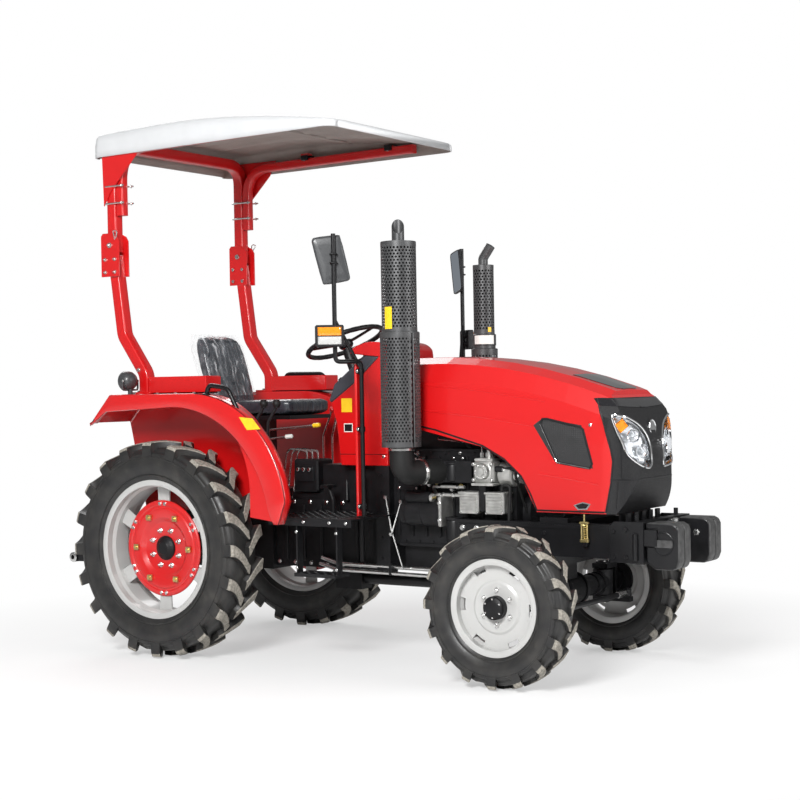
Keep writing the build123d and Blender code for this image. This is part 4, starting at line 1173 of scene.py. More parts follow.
def console():
    """The red console with its rounded hump, the strips beside the mirror tubes and the blank labels."""
    made = Build(RED)
    dome = [(860, 1479), (884, 1510), (965, 1533), (1048, 1527), (1091, 1500), (1100, 1470)]
    hump = curve_profile(dome, 5)
    outline = [(1074, 935), (796, 935), (774, 1138), *CONSOLE_FACE, *hump, (1100, 1120), (1074, 1120)]
    side_prism(made, outline, -CONSOLE_HALF, CONSOLE_HALF)
    strip = [(1067, 709), (1081, 709), (1081, 1425), (1067, 1425)]
    hinge = [(1098, 1432), (1112, 1432), (1118, 1440), (1112, 1448), (1098, 1448)]
    for side in SIDES.values():
        side_prism(made, strip, side * 410, side * 445)
        side_prism(made, hinge, side * 150, side * 165)
        cylinder(made, (1112, side * 158, 1440), (1112, side * 186, 1440), 5, 12)
    body = made.make("console_dressed", "chassis", "red_paint", ["cowl"], sharp=30)
    eased(body, 0.010, 45)
    trim = Build(STEEL)
    labels = ((805, 868, 1195, 1262, 0.8, YELLOW), (818, 870, 1098, 1140, 0.8, LABEL_WHITE),
              (822, 866, 1102, 1136, 1.4, PLASTIC))
    for x0, x1, z0, z1, thick, look in labels:
        corners = [(x0, z0), (x1, z0), (x1, z1), (x0, z1)]
        side_prism(trim, corners, -CONSOLE_HALF, -CONSOLE_HALF - thick, look)
    for side in SIDES.values():
        bolts(trim, [(1050, side * CONSOLE_HALF, z) for z in (980, 1280)], (0, side, 0), 7)
        tube(trim, [(790, side * 190.6, 990), (1070, side * 190.6, 990)], 1.5, 6, PLASTIC)
    trim.make("console_trim", "chassis", "black_plastic")


def instrument_panel():
    """The slate panel with its round dials, switches, key and lamps, facing the driver."""
    made = Build(SLATE)
    side_prism(made, CONSOLE_FACE + [(887, 1427), (760, 1332), (727, 1253)], -CONSOLE_HALF, CONSOLE_HALF)
    body = made.make("panel_dressed", "chassis", "black_plastic", ["dash"], sharp=30)
    eased(body, 0.012, 30)
    face = Build(PLASTIC)
    normal = Vector((-95, 0, 127)).normalized()
    along = Vector((127, 0, 95)).normalized()

    def spot(up, y):
        return facing(Vector((760, y, 1332)) + along * up, normal)

    for up, y, r in ((118, 0, 50), (100, 118, 34), (100, -118, 34)):
        place = spot(up, y)
        spin(face, [(r + 6, -2), (r + 6, 5), (r + 3, 8), (r, 6), (r, 2)], place, 36)
        spin(face, [(r, 2), (0.5, 2)], place, 36, GLOSS)
        for i in range(11):
            turn = radians(-30 + 240 * i / 10)
            mark = place @ Vector((r * 0.84 * cos(turn), r * 0.84 * sin(turn), 2.4))
            cylinder(face, mark, mark + normal * 0.8, 1.6, 8, LABEL_WHITE)
        tube(face, [place @ Vector((0, 0, 4)), place @ Vector((-r * 0.6, r * 0.4, 4))], 1.4, 6, AMBER)
        spin(face, [(0.5, 6), (4, 5), (5, 2)], place, 14)
    for y in (-165, -140, 140, 165):
        prism(face, rectangle(10, 15), 7, spot(38, y), edge=2)
    key = spot(30, -85)
    spin(face, [(13, 0), (13, 6), (9, 9), (0.5, 9)], key, 20, STEEL)
    prism(face, rectangle(1.5, 6), 22, key, STEEL)
    for i in range(5):
        spin(face, [(5, 0), (5, 2), (0.5, 4)], spot(34, -40 + 20 * i), 12, AMBER if i % 2 else RED_LENS)
    face.make("panel_face", "chassis", "black_plastic")


def steering_wheel():
    """The ribbed rim, three spokes and the domed hub cap, and the boot round the column's foot."""
    tilt = radians(22)
    axis = Vector((-sin(tilt), 0, cos(tilt)))
    ahead = Vector((cos(tilt), 0, sin(tilt)))
    left = Vector((0, 1, 0))
    middle = Vector((695, 0, 1542))
    made = Build(BLACK)
    rows = []
    for i in range(97):
        turn = 2 * pi * i / 96
        out = ahead * cos(turn) + left * sin(turn)
        grip = 12.5 if i % 4 else 11.8
        rows.append([middle + out * (195 + u) + axis * v for u, v in ring_points(grip, 14)])
    loft(made, rows, PLASTIC, closed=True)
    section = [(1, 0.6), (0.6, 1), (-0.6, 1), (-1, 0.6), (-1, -0.6), (-0.6, -1), (0.6, -1), (1, -0.6)]
    for turn in (0, 2 * pi / 3, 4 * pi / 3):
        out = ahead * cos(turn) + left * sin(turn)
        across = axis.cross(out)
        spoke = []
        for r, wide, drop in ((20, 18, 6), (70, 14, 6), (130, 12, 3), (188, 12, 0)):
            core = middle + out * r - axis * drop
            spoke.append([core + across * wide * u + axis * 5 * v for u, v in section])
        loft(made, spoke, closed=True)
    hub = [(12, -32), (30, -30), (37, -20), (38, 0), (34, 6), (20, 9), (0.5, 10)]
    spin(made, hub, facing(middle, axis), 32)
    cylinder(made, middle - axis * 98, middle - axis * 30, 11, 20, STEEL)
    made.make("steering_wheel_dressed", "steering_wheel", "black_plastic", ["steering_wheel"])
    boot = Build(HOSE)
    ribs = [(46 - 1.2 * i + (4 if i % 2 else 0), 6 * i) for i in range(13)]
    spin(boot, ribs + [(28.5, 78)], facing(middle - axis * 285, axis), 32)
    stalk = middle - axis * 110
    pipe(boot, [stalk, stalk + left * 90 + axis * 20, stalk + left * 160 + axis * 50], 30, 5)
    cylinder(boot, stalk + left * 125 + axis * 34, stalk + left * 165 + axis * 53, 9, 14, edge=2)
    boot.make("column_boot", "chassis", "black_plastic")


MIRROR_FOOT = (1101, 432)
MIRROR_STALK = (1045, 558)
MIRROR_OUTLINE = [(-34, 2016), (-20, 2020), (88, 2008), (97, 1998), (98, 1985), (52, 1800), (43, 1790),
                  (-60, 1806), (-74, 1814), (-76, 1828)]


def stalk_axes(side):
    """Places about a mirror's stalk on either side: out from it, along the mirror's face and up."""
    turn = radians(51)
    x, y = MIRROR_STALK
    foot = Vector((x, side * y, 0))
    out = Vector((cos(turn), side * sin(turn), 0))
    along = Vector((-sin(turn), side * cos(turn), 0))
    return lambda u, v, z: foot + out * u + along * v + Vector((0, 0, z))


def rounded(outline, share=0.25):
    """An outline with each corner cut short."""
    corners = [Vector(p) for p in outline]
    line = []
    for before, corner, after in zip(corners[-1:] + corners, corners, corners[1:] + corners[:1]):
        line += [corner.lerp(before, share), corner.lerp(after, share)]
    return line


def ringed(rows):
    """Rows of points, each with its first point again at its end."""
    return [row + row[:1] for row in rows]


def mirror(label, side):
    """A rear-view mirror: a dark domed back, a black rim and glass towards the driver, on its stalk."""
    made = Build(PLASTIC)
    here = stalk_axes(side)
    line = rounded(MIRROR_OUTLINE)
    middle = Vector((10, 1905))

    def ring(x, inset):
        points = []
        for p in line:
            away = p - middle
            points.append(here(x, *(middle + away * (1 - inset / away.length))))
        return points

    back = [ring(-25, 0), ring(-19, 0), ring(-15, 3), ring(-12, 12), ring(-11, 40)]
    loft(made, ringed(back), MIRROR_BACK)
    cap(made, back[-1], look=MIRROR_BACK)
    loft(made, ringed([ring(-25, 0), ring(-30, 1), ring(-31, 4), ring(-29, 7)]))
    loft(made, ringed([ring(-18, -0.6), ring(-21, -1.2), ring(-24, -0.6)]))
    cap(made, ring(-29, 7), look=GLASS)
    for z in (1890, 1930):
        clamp = [here(-12, -16, z), here(13, -14, z), here(14, 0, z), here(13, 14, z), here(-12, 16, z)]
        pipe(made, clamp, 6, 4, 8, steps=3)
    cylinder(made, here(-11, 0, 1880), here(-11, 0, 1940), 12, 16, edge=2)
    replaced = ["mirrors"] if side > 0 else ()
    made.make("mirror_" + label + "_dressed", "chassis", "black_plastic", replaced, sharp=50)


def mirror_tube(label, side):
    """The bent tube from the footplate to the mirror, its brace and its clips."""
    made = Build(BLACK)
    foot = (MIRROR_FOOT[0], side * MIRROR_FOOT[1])
    stalk = (MIRROR_STALK[0], side * MIRROR_STALK[1])
    pipe(made, [(*foot, 709), (*foot, 1435), (*stalk, 1435), (*stalk, 2024)], 26, 10.5, 16, steps=8)
    tube(made, [(*foot, 1400), (*stalk, 1630)], 7.5, 12)
    for z in (760, 1120, 1390):
        spin(made, [(10.5, -12), (14, -12), (14, 12), (10.5, 12)], Matrix.Translation((*foot, z)), 20)
        box(made, (1078, side * 418, z - 10), (1092, side * 446, z + 10), edge=1)
        bolt(made, (1085, side * 447, z), (0, side, 0), 6, STEEL)
    prism(made, ring_points(32, 4, pi / 4), 6, Matrix.Translation((*foot, 709)), edge=1)
    made.make("mirror_tube_" + label, "chassis", "black_paint", ["mirror_arms"] if side > 0 else ())


def indicator(label, side):
    """An indicator lamp: a black case on a plate, a ribbed amber lens above a white one."""
    made = Build(PLASTIC)
    here = stalk_axes(side)
    section = [(-34, 1503), (86, 1503), (92, 1509), (92, 1597), (86, 1603), (-34, 1603), (-40, 1597),
               (-40, 1509)]
    rows = []
    for x, inset in ((14, 4), (16, 0), (42, 0), (45, 2)):
        wide = 1 - inset / 78
        tall = 1 - inset / 50
        rows.append([here(x, 27 + (y - 27) * wide, 1553 + (z - 1553) * tall) for y, z in section])
    loft(made, ringed(rows))
    cap(made, rows[0], rows[-1])
    ribs = 22
    for low, high, look in ((1554, 1593, AMBER), (1513, 1550, WHITE)):
        rows = []
        for i in range(ribs + 1):
            y = -28 + 108 * i / ribs
            deep = 47 if i in (0, ribs) else 53 if i % 2 else 51.5
            line = [(44, low), (deep - 2, low + 1), (deep, low + 6)]
            line += [(deep, high - 6), (deep - 2, high - 1), (44, high)]
            rows.append([here(x, y, z) for x, z in line])
        loft(made, rows, look)
        cap(made, rows[0], rows[-1], look=look)
    for z in (1530, 1575):
        cylinder(made, here(0, 0, z), here(16, 0, z), 16, 16)
    made.make("indicator_" + label, "chassis", "amber_plastic", ["lamps"] if side > 0 else ())


def work_lamp():
    """The round work lamp on the right fender: a domed shell, its glass to the rear and a bracket."""
    made = Build(MIRROR_BACK)
    middle = Vector((-207, -600, 1367))
    place = facing(middle, AHEAD)
    dome = [(46, -40), (50, -34), (50, -16), (46, 2), (38, 16), (24, 26), (10, 29.5), (0.5, 30)]
    spin(made, dome, place, 40)
    spin(made, [(46, -40), (43, -37), (0.5, -39)], place, 40, CLEAR_LENS)
    cylinder(made, middle - Vector((0, 0, 67)), middle - Vector((0, 0, 36)), 12, 16)
    fork = [middle + Vector((0, y, z)) for y, z in ((-54, 6), (-54, -45), (54, -45), (54, 6))]
    pipe(made, fork, 12, 5, steps=4)
    for side in SIDES.values():
        bolt(made, middle + Vector((0, side * 52, 0)), (0, side, 0), 7, STEEL)
    bolt(made, (-180, -600, 1300), UP, 8, STEEL)
    made.make("work_lamp", "chassis", "black_plastic")


def handrails():
    """The near loop, the far hoop with its strut, both bent tube on round feet, and the fender's label."""
    made = Build(BLACK)
    loop = [(352, 1288), (368, 1338), (486, 1322), (568, 1172)]
    hoop = [(-180, 1300), (-165, 1398), (81, 1395), (235, 1282)]
    pipe(made, upright(loop, -665), 60, 11.5, 16, steps=10)
    pipe(made, upright(hoop, 605), 40, 11.5, 16, steps=8)
    tube(made, [(60, 605, 1300), (60, 605, 1393)], 8, 12)
    for foot in ((352, -665, 1294), (-180, 605, 1300), (60, 605, 1300), (238, 605, 1284)):
        spin(made, [(20, -6), (20, 3), (12, 6), (10.5, 10)], Matrix.Translation(foot), 20)
    made.make("handrails_dressed", "chassis", "black_paint", ["handrails"])
    label = Build(YELLOW)
    side_prism(label, [(574, 1185), (655, 1178), (702, 1128), (621, 1124)], -690.2, -691.4)
    label.make("fender_label", "chassis", "red_paint")


# Seat

def signed_power(value, power):
    return abs(value) ** power * (1 if value >= 0 else -1)


def flatten(made):
    """Put a piece's modifiers into its mesh."""
    ready = made.evaluated_get(bpy.context.evaluated_depsgraph_get())
    mesh = bpy.data.meshes.new_from_object(ready)
    made.modifiers.clear()
    made.data = mesh


def swell(made, move):
    """Fill a pad: remesh it, let air press its cover out a little, in metres, and keep the result."""
    remesh = made.modifiers.new("even", "REMESH")
    remesh.mode = "VOXEL"
    remesh.voxel_size = 0.006
    flatten(made)
    start = [v.co.copy() for v in made.data.vertices]
    cloth = made.modifiers.new("air", "CLOTH")
    cloth.settings.use_pressure = True
    cloth.settings.uniform_pressure_force = 4
    cloth.settings.effector_weights.gravity = 0
    scene = bpy.context.scene
    for step in range(1, 21):
        scene.frame_set(step)
    flatten(made)
    scene.frame_set(1)
    for v, old in zip(made.data.vertices, start):
        way = v.co - old
        if way.length > move:
            v.co = old + way * (move / way.length)
    made.data.polygons.foreach_set("use_smooth", [True] * len(made.data.polygons))


def pad(node, rows):
    """A padded part of the seat, from closed rows of points."""
    build = Build(WRAPPED)
    loft(build, rows, closed=True)
    cap(build, rows[0], rows[-1])
    made = build.make(node + "_dressed", "chassis", "seat_vinyl", [node], sharp=80)
    swell(made, 0.005)


def back_lean(z):
    """How far ahead the seat back's middle lies at a height."""
    return -49 - 106 * max(0.0, z - 1250) / 350


def seat():
    """The wrapped seat: a cushion with rolled sides and a back with a head roll, of rounded squares."""
    turns = [2 * pi * i / 40 for i in range(40)]
    ring = [(signed_power(cos(turn), 0.42), signed_power(sin(turn), 0.42)) for turn in turns]
    rows = []
    cushion = ((14, 0.78, 0.45), (18, 0.90, 0.72), (30, 0.95, 0.90), (90, 0.97, 0.95), (240, 0.98, 0.96),
               (390, 0.96, 0.96), (440, 0.93, 0.90), (462, 0.86, 0.72), (468, 0.74, 0.45))
    for x, wide, deep in cushion:
        row = []
        for u, v in ring:
            rolled = 10 * abs(u) ** 4 if v > 0 else 0
            dip = -9 * (1 - u * u) if v > 0.6 and 60 < x < 430 else 0
            row.append((x, 194 * wide * u, 1221 + 38 * deep * v + rolled + dip))
        rows.append(row)
    pad("seat_cushion", rows)
    rows = []
    back = ((1192, 0.80, 0.5), (1198, 0.90, 0.8), (1230, 0.95, 0.95), (1330, 0.97, 1.0), (1430, 0.99, 0.97),
            (1510, 0.97, 0.94), (1555, 0.91, 0.88), (1580, 0.82, 0.76), (1594, 0.68, 0.52),
            (1599, 0.50, 0.25))
    for z, wide, deep in back:
        row = []
        for u, v in ring:
            rolled = 9 * abs(u) ** 4 if v > 0 else 0
            row.append((back_lean(z) + 37 * deep * v + rolled, 170 * wide * u, z - 6 * v))
        rows.append(row)
    pad("seat_back", rows)
    seat_film()


def seat_film():
    """The clear plastic bag still on the seat's back, crumpled, with its corners standing off."""
    made = Build(FILM)
    rows = []
    for t in (i / 28 for i in range(29)):
        z = 1285 + 322 * t
        closing = 1 - max(0.0, t - 0.80) / 0.20 * 0.70
        row = []
        for turn in (2 * pi * k / 40 for k in range(41)):
            u = signed_power(cos(turn), 0.5)
            v = signed_power(sin(turn), 0.5)
            loose = t if v < 0 else 0
            crumple = 3.0 * sin(9 * turn + 14 * t) + 2.2 * sin(23 * turn - 31 * t)
            crumple += 1.6 * sin(5 * turn + 47 * t)
            wide = (178 + crumple) * (1 - 0.30 * max(0.0, t - 0.55) ** 1.3) + 22 * loose
            deep = 45 + crumple + 20 * loose
            row.append((back_lean(z) + deep * v * closing, wide * u, z + 2.0 * sin(7 * turn)))
        rows.append(row)
    loft(made, rows)
    bag = made.make("seat_film", "chassis", "seat_vinyl", sharp=60)


# Platform and controls

def lozenges(build, x0, x1, y0, y1, z):
    """Raised lozenges in alternate directions over a plate."""
    pitch = 24
    lozenge = [(-13, 0), (-6, 4), (6, 4), (13, 0), (6, -4), (-6, -4)]
    y0, y1 = sorted((y0, y1))
    for i in range(int((x1 - x0) / pitch)):
        for k in range(int((y1 - y0) / pitch)):
            place = Matrix.Translation((x0 + pitch * (i + 0.5), y0 + pitch * (k + 0.5), z))
            turn = pi / 4 if (i + k) % 2 else -pi / 4
            prism(build, lozenge, 2.2, place @ Matrix.Rotation(turn, 4, "Z"), edge=0.8)


def checker_plate():
    """The raised pattern of the footplates and steps, and the bolts along the footplates' edges."""
    made = Build(BLACK)
    for side in SIDES.values():
        lozenges(made, 650, 990, side * 150, side * 555, 709)
        lozenges(made, 995, 1060, side * 210, side * 555, 709)
        lozenges(made, 795, 1025, side * 452, side * 568, 448)
        way = (0, side, 0)
        bolts(made, [(x, side * 570, 690) for x in (700, 850, 1000, 1095)], way, 7, STEEL)
        bolts(made, [(x, side * 550, z) for x in (792, 1024) for z in (470, 640)], way, 6, STEEL)
    made.make("checker_plate", "chassis", "black_paint")


def knob(build, place, radius, count, look):
    """A ball with a flat-topped tip, for a lever's end."""
    turns = (-1.2, -0.8, -0.4, 0, 0.4, 0.8, 1.2) if radius > 20 else (-1, -0.5, 0, 0.5, 1)
    ball = [(0.5, -radius)] + [(radius * cos(a), radius * sin(a)) for a in turns] + [(0.5, radius)]
    spin(build, ball, Matrix.Translation(place), count, look)


def levers():
    """The levers' round knobs and boots, more levers beside the seat, and ribbed pads on the pedals."""
    made = Build(STEEL)
    boot = [(22 - 1.8 * i + (3 if i % 2 else 0), 5 * i) for i in range(8)] + [(8, 42)]
    for x in (420, 500):
        knob(made, (x + 40, -365, 1242), 21, 24, HOSE)
        spin(made, boot, Matrix.Translation((x, -385, 1040)), 20, HOSE)
    for x, y, lean, look in ((330, 290, 60, RED), (380, 300, 40, YELLOW)):
        tip = (x + lean, y, 1200)
        pipe(made, [(x, y, 909), (x, y, 1060), tip], 40, 6)
        knob(made, tip, 16, 20, look)
    box(made, (150, -206, 760), (215, -186, 1012), HOSE, 4)
    box(made, (150, -206, 752), (215, -110, 764), HOSE)
    rods = (
        ([(160, 1010), (360, 1108), (640, 1130)], -190, YELLOW),
        ([(180, 960), (330, 1058), (474, 1074)], -200, LABEL_WHITE),
    )
    for line, y, look in rods:
        pipe(made, upright(line, y), 60, 6)
        x, z = line[-1]
        cylinder(made, (x - 12, y, z), (x + 30, y, z + 3), 11, 18, look, 4)
    for side in SIDES.values():
        for x in range(739, 787, 8):
            box(made, (x, side * 217, 839.5), (x + 4, side * 283, 843), HOSE, 1)
    made.make("lever_dress", "chassis", "black_plastic")


# Engine, front frame and weights

def pumps():
    """The bright pump group: two ribbed bodies, the dark link between and the injection pump above."""
    made = Build(ALLOY)
    for x0, x1 in ((1500, 1605), (1640, 1740)):
        box(made, (x0, -234, 724), (x1, -150, 820), edge=6)
        for z in range(734, 818, 14):
            box(made, (x0 + 9, -240, z), (x1 - 9, -232, z + 8), edge=2)
        box(made, (x0 - 3, -238, 815), (x1 + 3, -150, 824), edge=2)
        for x in (x0 + 8, x1 - 8):
            bolt(made, (x, -234, 729), TO_RIGHT, 5, STEEL)
            bolt(made, (x, -215, 823), UP, 5, STEEL)
    box(made, (1605, -228, 734), (1640, -150, 854), IRON, 4)
    box(made, (1575, -232, 862), (1685, -150, 970), edge=12)
    box(made, (1570, -240, 854), (1690, -150, 866))
    box(made, (1580, -226, 966), (1680, -150, 979), edge=4)
    cover = facing((1630, -231, 919), TO_RIGHT)
    spin(made, [(38, 0), (38, 14), (34, 20), (22, 21), (19, 26), (0.5, 27)], cover, 32)
    bolts(made, round_about(cover, 30, 20, 6), TO_RIGHT, 4, STEEL)
    for x, z in ((1583, 880), (1678, 880), (1583, 952), (1678, 952)):
        cylinder(made, (x, -228, z), (x, -240, z), 9, 16, edge=2)
        bolt(made, (x, -240, z), TO_RIGHT, 5, STEEL)
    for x, end in ((1600, 1330), (1630, 1460), (1660, 1590)):
        cylinder(made, (x, -185, 976), (x, -185, 1004), 10, 6, STEEL)
        line = [(x, -185, 1000), (x, -185, 1046), (end, -150, 1062), (end, -112, 1085)]
        pipe(made, line, 30, 3.2, 8, STEEL)
    cylinder(made, (1652, -205, 975), (1652, -205, 1020), 12, 16, edge=2)
    bolt(made, (1652, -205, 1018), UP, 9, STEEL)
    cylinder(made, (1684, -205, 930), (1722, -205, 930), 14, 16, IRON, 2)
    bolt(made, (1720, -205, 930), AHEAD, 11, STEEL)
    drain = [(1715, -205, 820), (1715, -205, 856), (1760, -205, 856), (1760, -222, 676)]
    pipe(made, drain, 20, 8, look=HOSE)
    made.make("pumps_dressed", "chassis", "bare_alloy", ["engine_pumps"])


def engine_sides(made):
    """Ribs, flanges and bolted covers on the engine's two sides."""
    for side in SIDES.values():
        way = (0, side, 0)
        for i in range(9):
            x = 1105 + 78 * i
            box(made, (x, side * 149, 600), (x + 12, side * 158, 985))
            bolt(made, (x + 40, side * 150, 1000), way, 8, STEEL if i % 3 == 1 else IRON)
            bolt(made, (x + 40, side * 150, 575), way, 7)
        box(made, (1110, side * 120, 552), (1720, side * 158, 566))
        box(made, (1095, side * 108, 1006), (1745, side * 156, 1018))
        for x0, x1, z0, z1 in ((1420, 1490, 880, 985), (1110, 1230, 820, 980)):
            box(made, (x0, side * 150, z0), (x1, side * 164, z1), edge=5)
            corners = [(x, side * 164, z) for x in (x0 + 10, x1 - 10) for z in (z0 + 10, z1 - 10)]
            bolts(made, corners, way, 5, STEEL)


def starter(made):
    """The starter with its bands, its switch above and its flange."""
    y, z = -205, 720
    cylinder(made, (1182, y, z), (1198, y, z), 50, 32, ALLOY, 3)
    for x in (1210, 1300, 1392):
        spin(made, [(61.5, -4), (64, -3), (64, 3), (61.5, 4)], facing((x, y, z), AHEAD), 36)
    label = facing((1270, y, z), AHEAD) @ Matrix.Rotation(radians(64), 4, "Z")
    patch(made, label, 62.5, -30, 30, radians(20), LABEL_WHITE)
    cylinder(made, (1215, -232, 792), (1345, -232, 792), 28, 24, edge=3)
    cylinder(made, (1345, -232, 792), (1362, -232, 792), 20, 20, ALLOY, 2)
    bolts(made, [(1362, -222, 792), (1362, -242, 792)], AHEAD, 6, ZINC)
    box(made, (1400, -262, 660), (1418, -150, 800), ALLOY, 4)
    bolts(made, [(1409, -262, 690), (1409, -262, 770)], TO_RIGHT, 8, STEEL)


def engine_fittings(made):
    """The filters, the fittings on the right side, their pipes, and the linkage rods below."""
    canister = [(0.5, 0), (34, 1), (40, 6), (41, 90), (38, 98), (44, 102), (44, 112), (20, 116)]
    spin(made, canister, Matrix.Translation((1455, -200, 590)), 32, PLASTIC)
    small = [(r * 0.75, height * 0.8) for r, height in canister]
    spin(made, small, Matrix.Translation((1448, -196, 868)), 28, PLASTIC)
    plugs = ((1340, -172, 862, 12), (1372, -170, 880, 10), (1300, -176, 850, 10), (1430, -180, 830, 10),
             (1480, -178, 845, 11))
    for x, y, z, size in plugs:
        cylinder(made, (x, -150, z), (x, y, z), size, 16, STEEL, 2)
        bolt(made, (x, y, z), TO_RIGHT, size * 0.9, ZINC if size > 10 else STEEL)
    for z, x0, y in ((842, 1330, -190), (806, 1365, -222)):
        pipe(made, [(x0, -160, z - 40), (x0, y, z), (1505, y, z)], 20, 8.5, 12, ALLOY)
        for x in (x0 + 40, 1470):
            spin(made, [(8.5, -7), (12, -6), (12, 6), (8.5, 7)], facing((x, y, z), AHEAD), 18, STEEL)
    for y, z, size in ((-178, 452, 11), (-196, 424, 9)):
        line = [(640, y + 30, z + 20), (760, y, z), (1540, y - 8, z - 6), (1640, y + 30, z + 40)]
        pipe(made, line, 60, size, 12, STEEL)
    for z in (438, 410):
        box(made, (1080, -210, z), (1096, -150, z + 32), edge=2)
    rods = ([(1108, -262, 790), (1128, -250, 640), (1172, -222, 452)],
            [(1180, -240, 770), (1128, -250, 610)])
    for line in rods:
        pipe(made, line, 50, 4.2, 8, STEEL)
    for x, y, z in ((1108, -262, 790), (1180, -240, 770), (1128, -250, 615), (1172, -222, 452)):
        cylinder(made, (x, y - 9, z), (x, y + 12, z), 9, 14, STEEL, 2)
    upper_hose = [(1520, -160, 1030), (1520, -195, 1060), (1780, -200, 1040), (1850, -160, 1000)]
    pipe(made, upper_hose, 50, 12, 12, HOSE)
    lower_hose = [(1690, -160, 860), (1690, -190, 930), (1770, -195, 930), (1880, -150, 900)]
    pipe(made, lower_hose, 40, 10, 12, HOSE)
    thin_line = [(1240, -150, 905), (1240, -172, 985), (1200, -175, 1005), (1200, -120, 1030)]
    pipe(made, thin_line, 20, 4.5, 8, STEEL)


def engine_dress():
    """What is bolted to the engine's sides."""
    made = Build(IRON)
    engine_sides(made)
    starter(made)
    engine_fittings(made)
    made.make("engine_dress", "chassis", "black_iron")


def fan_and_belt():
    """The fan, the belt round its three pulleys and the alternator."""
    made = Build(STEEL)
    pulley = [(30, -16), (70, -16), (74, -10), (64, -2), (64, 2), (74, 10), (70, 16), (30, 16)]
    x = 1782
    for y, z, scale in ((-150, 905, 0.62), (0, 917, 0.85)):
        spin(made, [(r * scale, height) for r, height in pulley], facing((x, y, z), AHEAD), 36)
        cylinder(made, (1760, y, z), (x, y, z), 22, 20)
    cylinder(made, (1690, -150, 905), (1764, -150, 905), 58, 32, ALLOY, 6)
    loop = []
    for y, z, r, start, end in ((0, 720, 84, 190, 350), (0, 917, 60, 0, 100), (-150, 905, 43, 100, 200)):
        turns = [radians(start + (end - start) * i / 8) for i in range(9)]
        loop += [(x, y + r * cos(turn), z + r * sin(turn)) for turn in turns]
    tube(made, loop, 6, 8, HOSE, closed=True)
    blade = [(36, -30), (120, -52), (168, -44), (170, 40), (120, 44), (36, 26)]
    pitch = Matrix.Rotation(radians(24), 4, "Y") @ Matrix.Rotation(pi / 2, 4, "X")
    for i in range(6):
        turn = Matrix.Rotation(2 * pi * i / 6, 4, "X")
        prism(made, blade, 3, Matrix.Translation((1862, 0, 940)) @ turn @ pitch, PLASTIC)
    made.make("fan_and_belt", "chassis", "black_plastic")


def radiator_dress():
    """Fine fins on the radiator's core, its tanks, cap, hoses and the side rails."""
    made = Build(ALLOY)
    for i in range(44):
        z = 766 + 8.4 * i
        box(made, (2038, -205, z), (2043, 205, z + 2.4), edge=0.6)
    for z0, z1 in ((722, 762), (1138, 1172)):
        box(made, (1954, -222, z0), (2046, 222, z1), BLACK, 6)
    for side in SIDES.values():
        box(made, (1956, side * 205, 720), (2048, side * 229, 1172), BLACK, 4)
    spin(made, [(26, 0), (26, 16), (22, 22), (0.5, 22)], Matrix.Translation((2000, 0, 1170)), 28, STEEL)
    pipe(made, [(1962, -120, 1150), (1880, -120, 1170), (1760, -90, 1120)], 60, 22, 16, HOSE)
    pipe(made, [(1962, 150, 745), (1870, 160, 745), (1762, 120, 800)], 60, 22, 16, HOSE)
    made.make("radiator_dress", "chassis", "bare_alloy")


def weights():
    """The front weights: two rounded plates a side, worn along their edges, and their clamps."""
    outline = [
        (2446, 539), (2486, 509), (2570, 509), (2588, 520), (2599, 549), (2599, 680), (2590, 700),
        (2570, 710), (2446, 710), (2446, 680), (2500, 680), (2500, 610), (2446, 610),
    ]
    made = Build(WORN_EDGES)
    for side in SIDES.values():
        for inner in (102, 169):
            side_prism(made, outline, side * inner, side * (inner + 63))
            made.looks[-2:] = [BLACK, BLACK]
    body = made.make("weights_dressed", "chassis", "black_iron", ["front_weights"], sharp=30)
    eased(body, 0.008, 30)
    clamps = Build(STEEL)
    turns = [2 * pi * i / 32 for i in range(32)]
    for side in SIDES.values():
        lip = [(2528 + 46 * cos(turn), side * 232, 622 + 50 * sin(turn)) for turn in turns]
        tube(clamps, lip, 3, 8, BLACK, closed=True)
        box(clamps, (2484, side * 228, 606), (2572, side * 237, 638), WORN_EDGES, 4)
        cylinder(clamps, (2535, side * 96, 645), (2535, side * 226, 645), 9, 16)
        bolt(clamps, (2535, side * 100, 645), (0, -side, 0), 13)
    clamps.make("weight_clamps", "chassis", "black_iron")


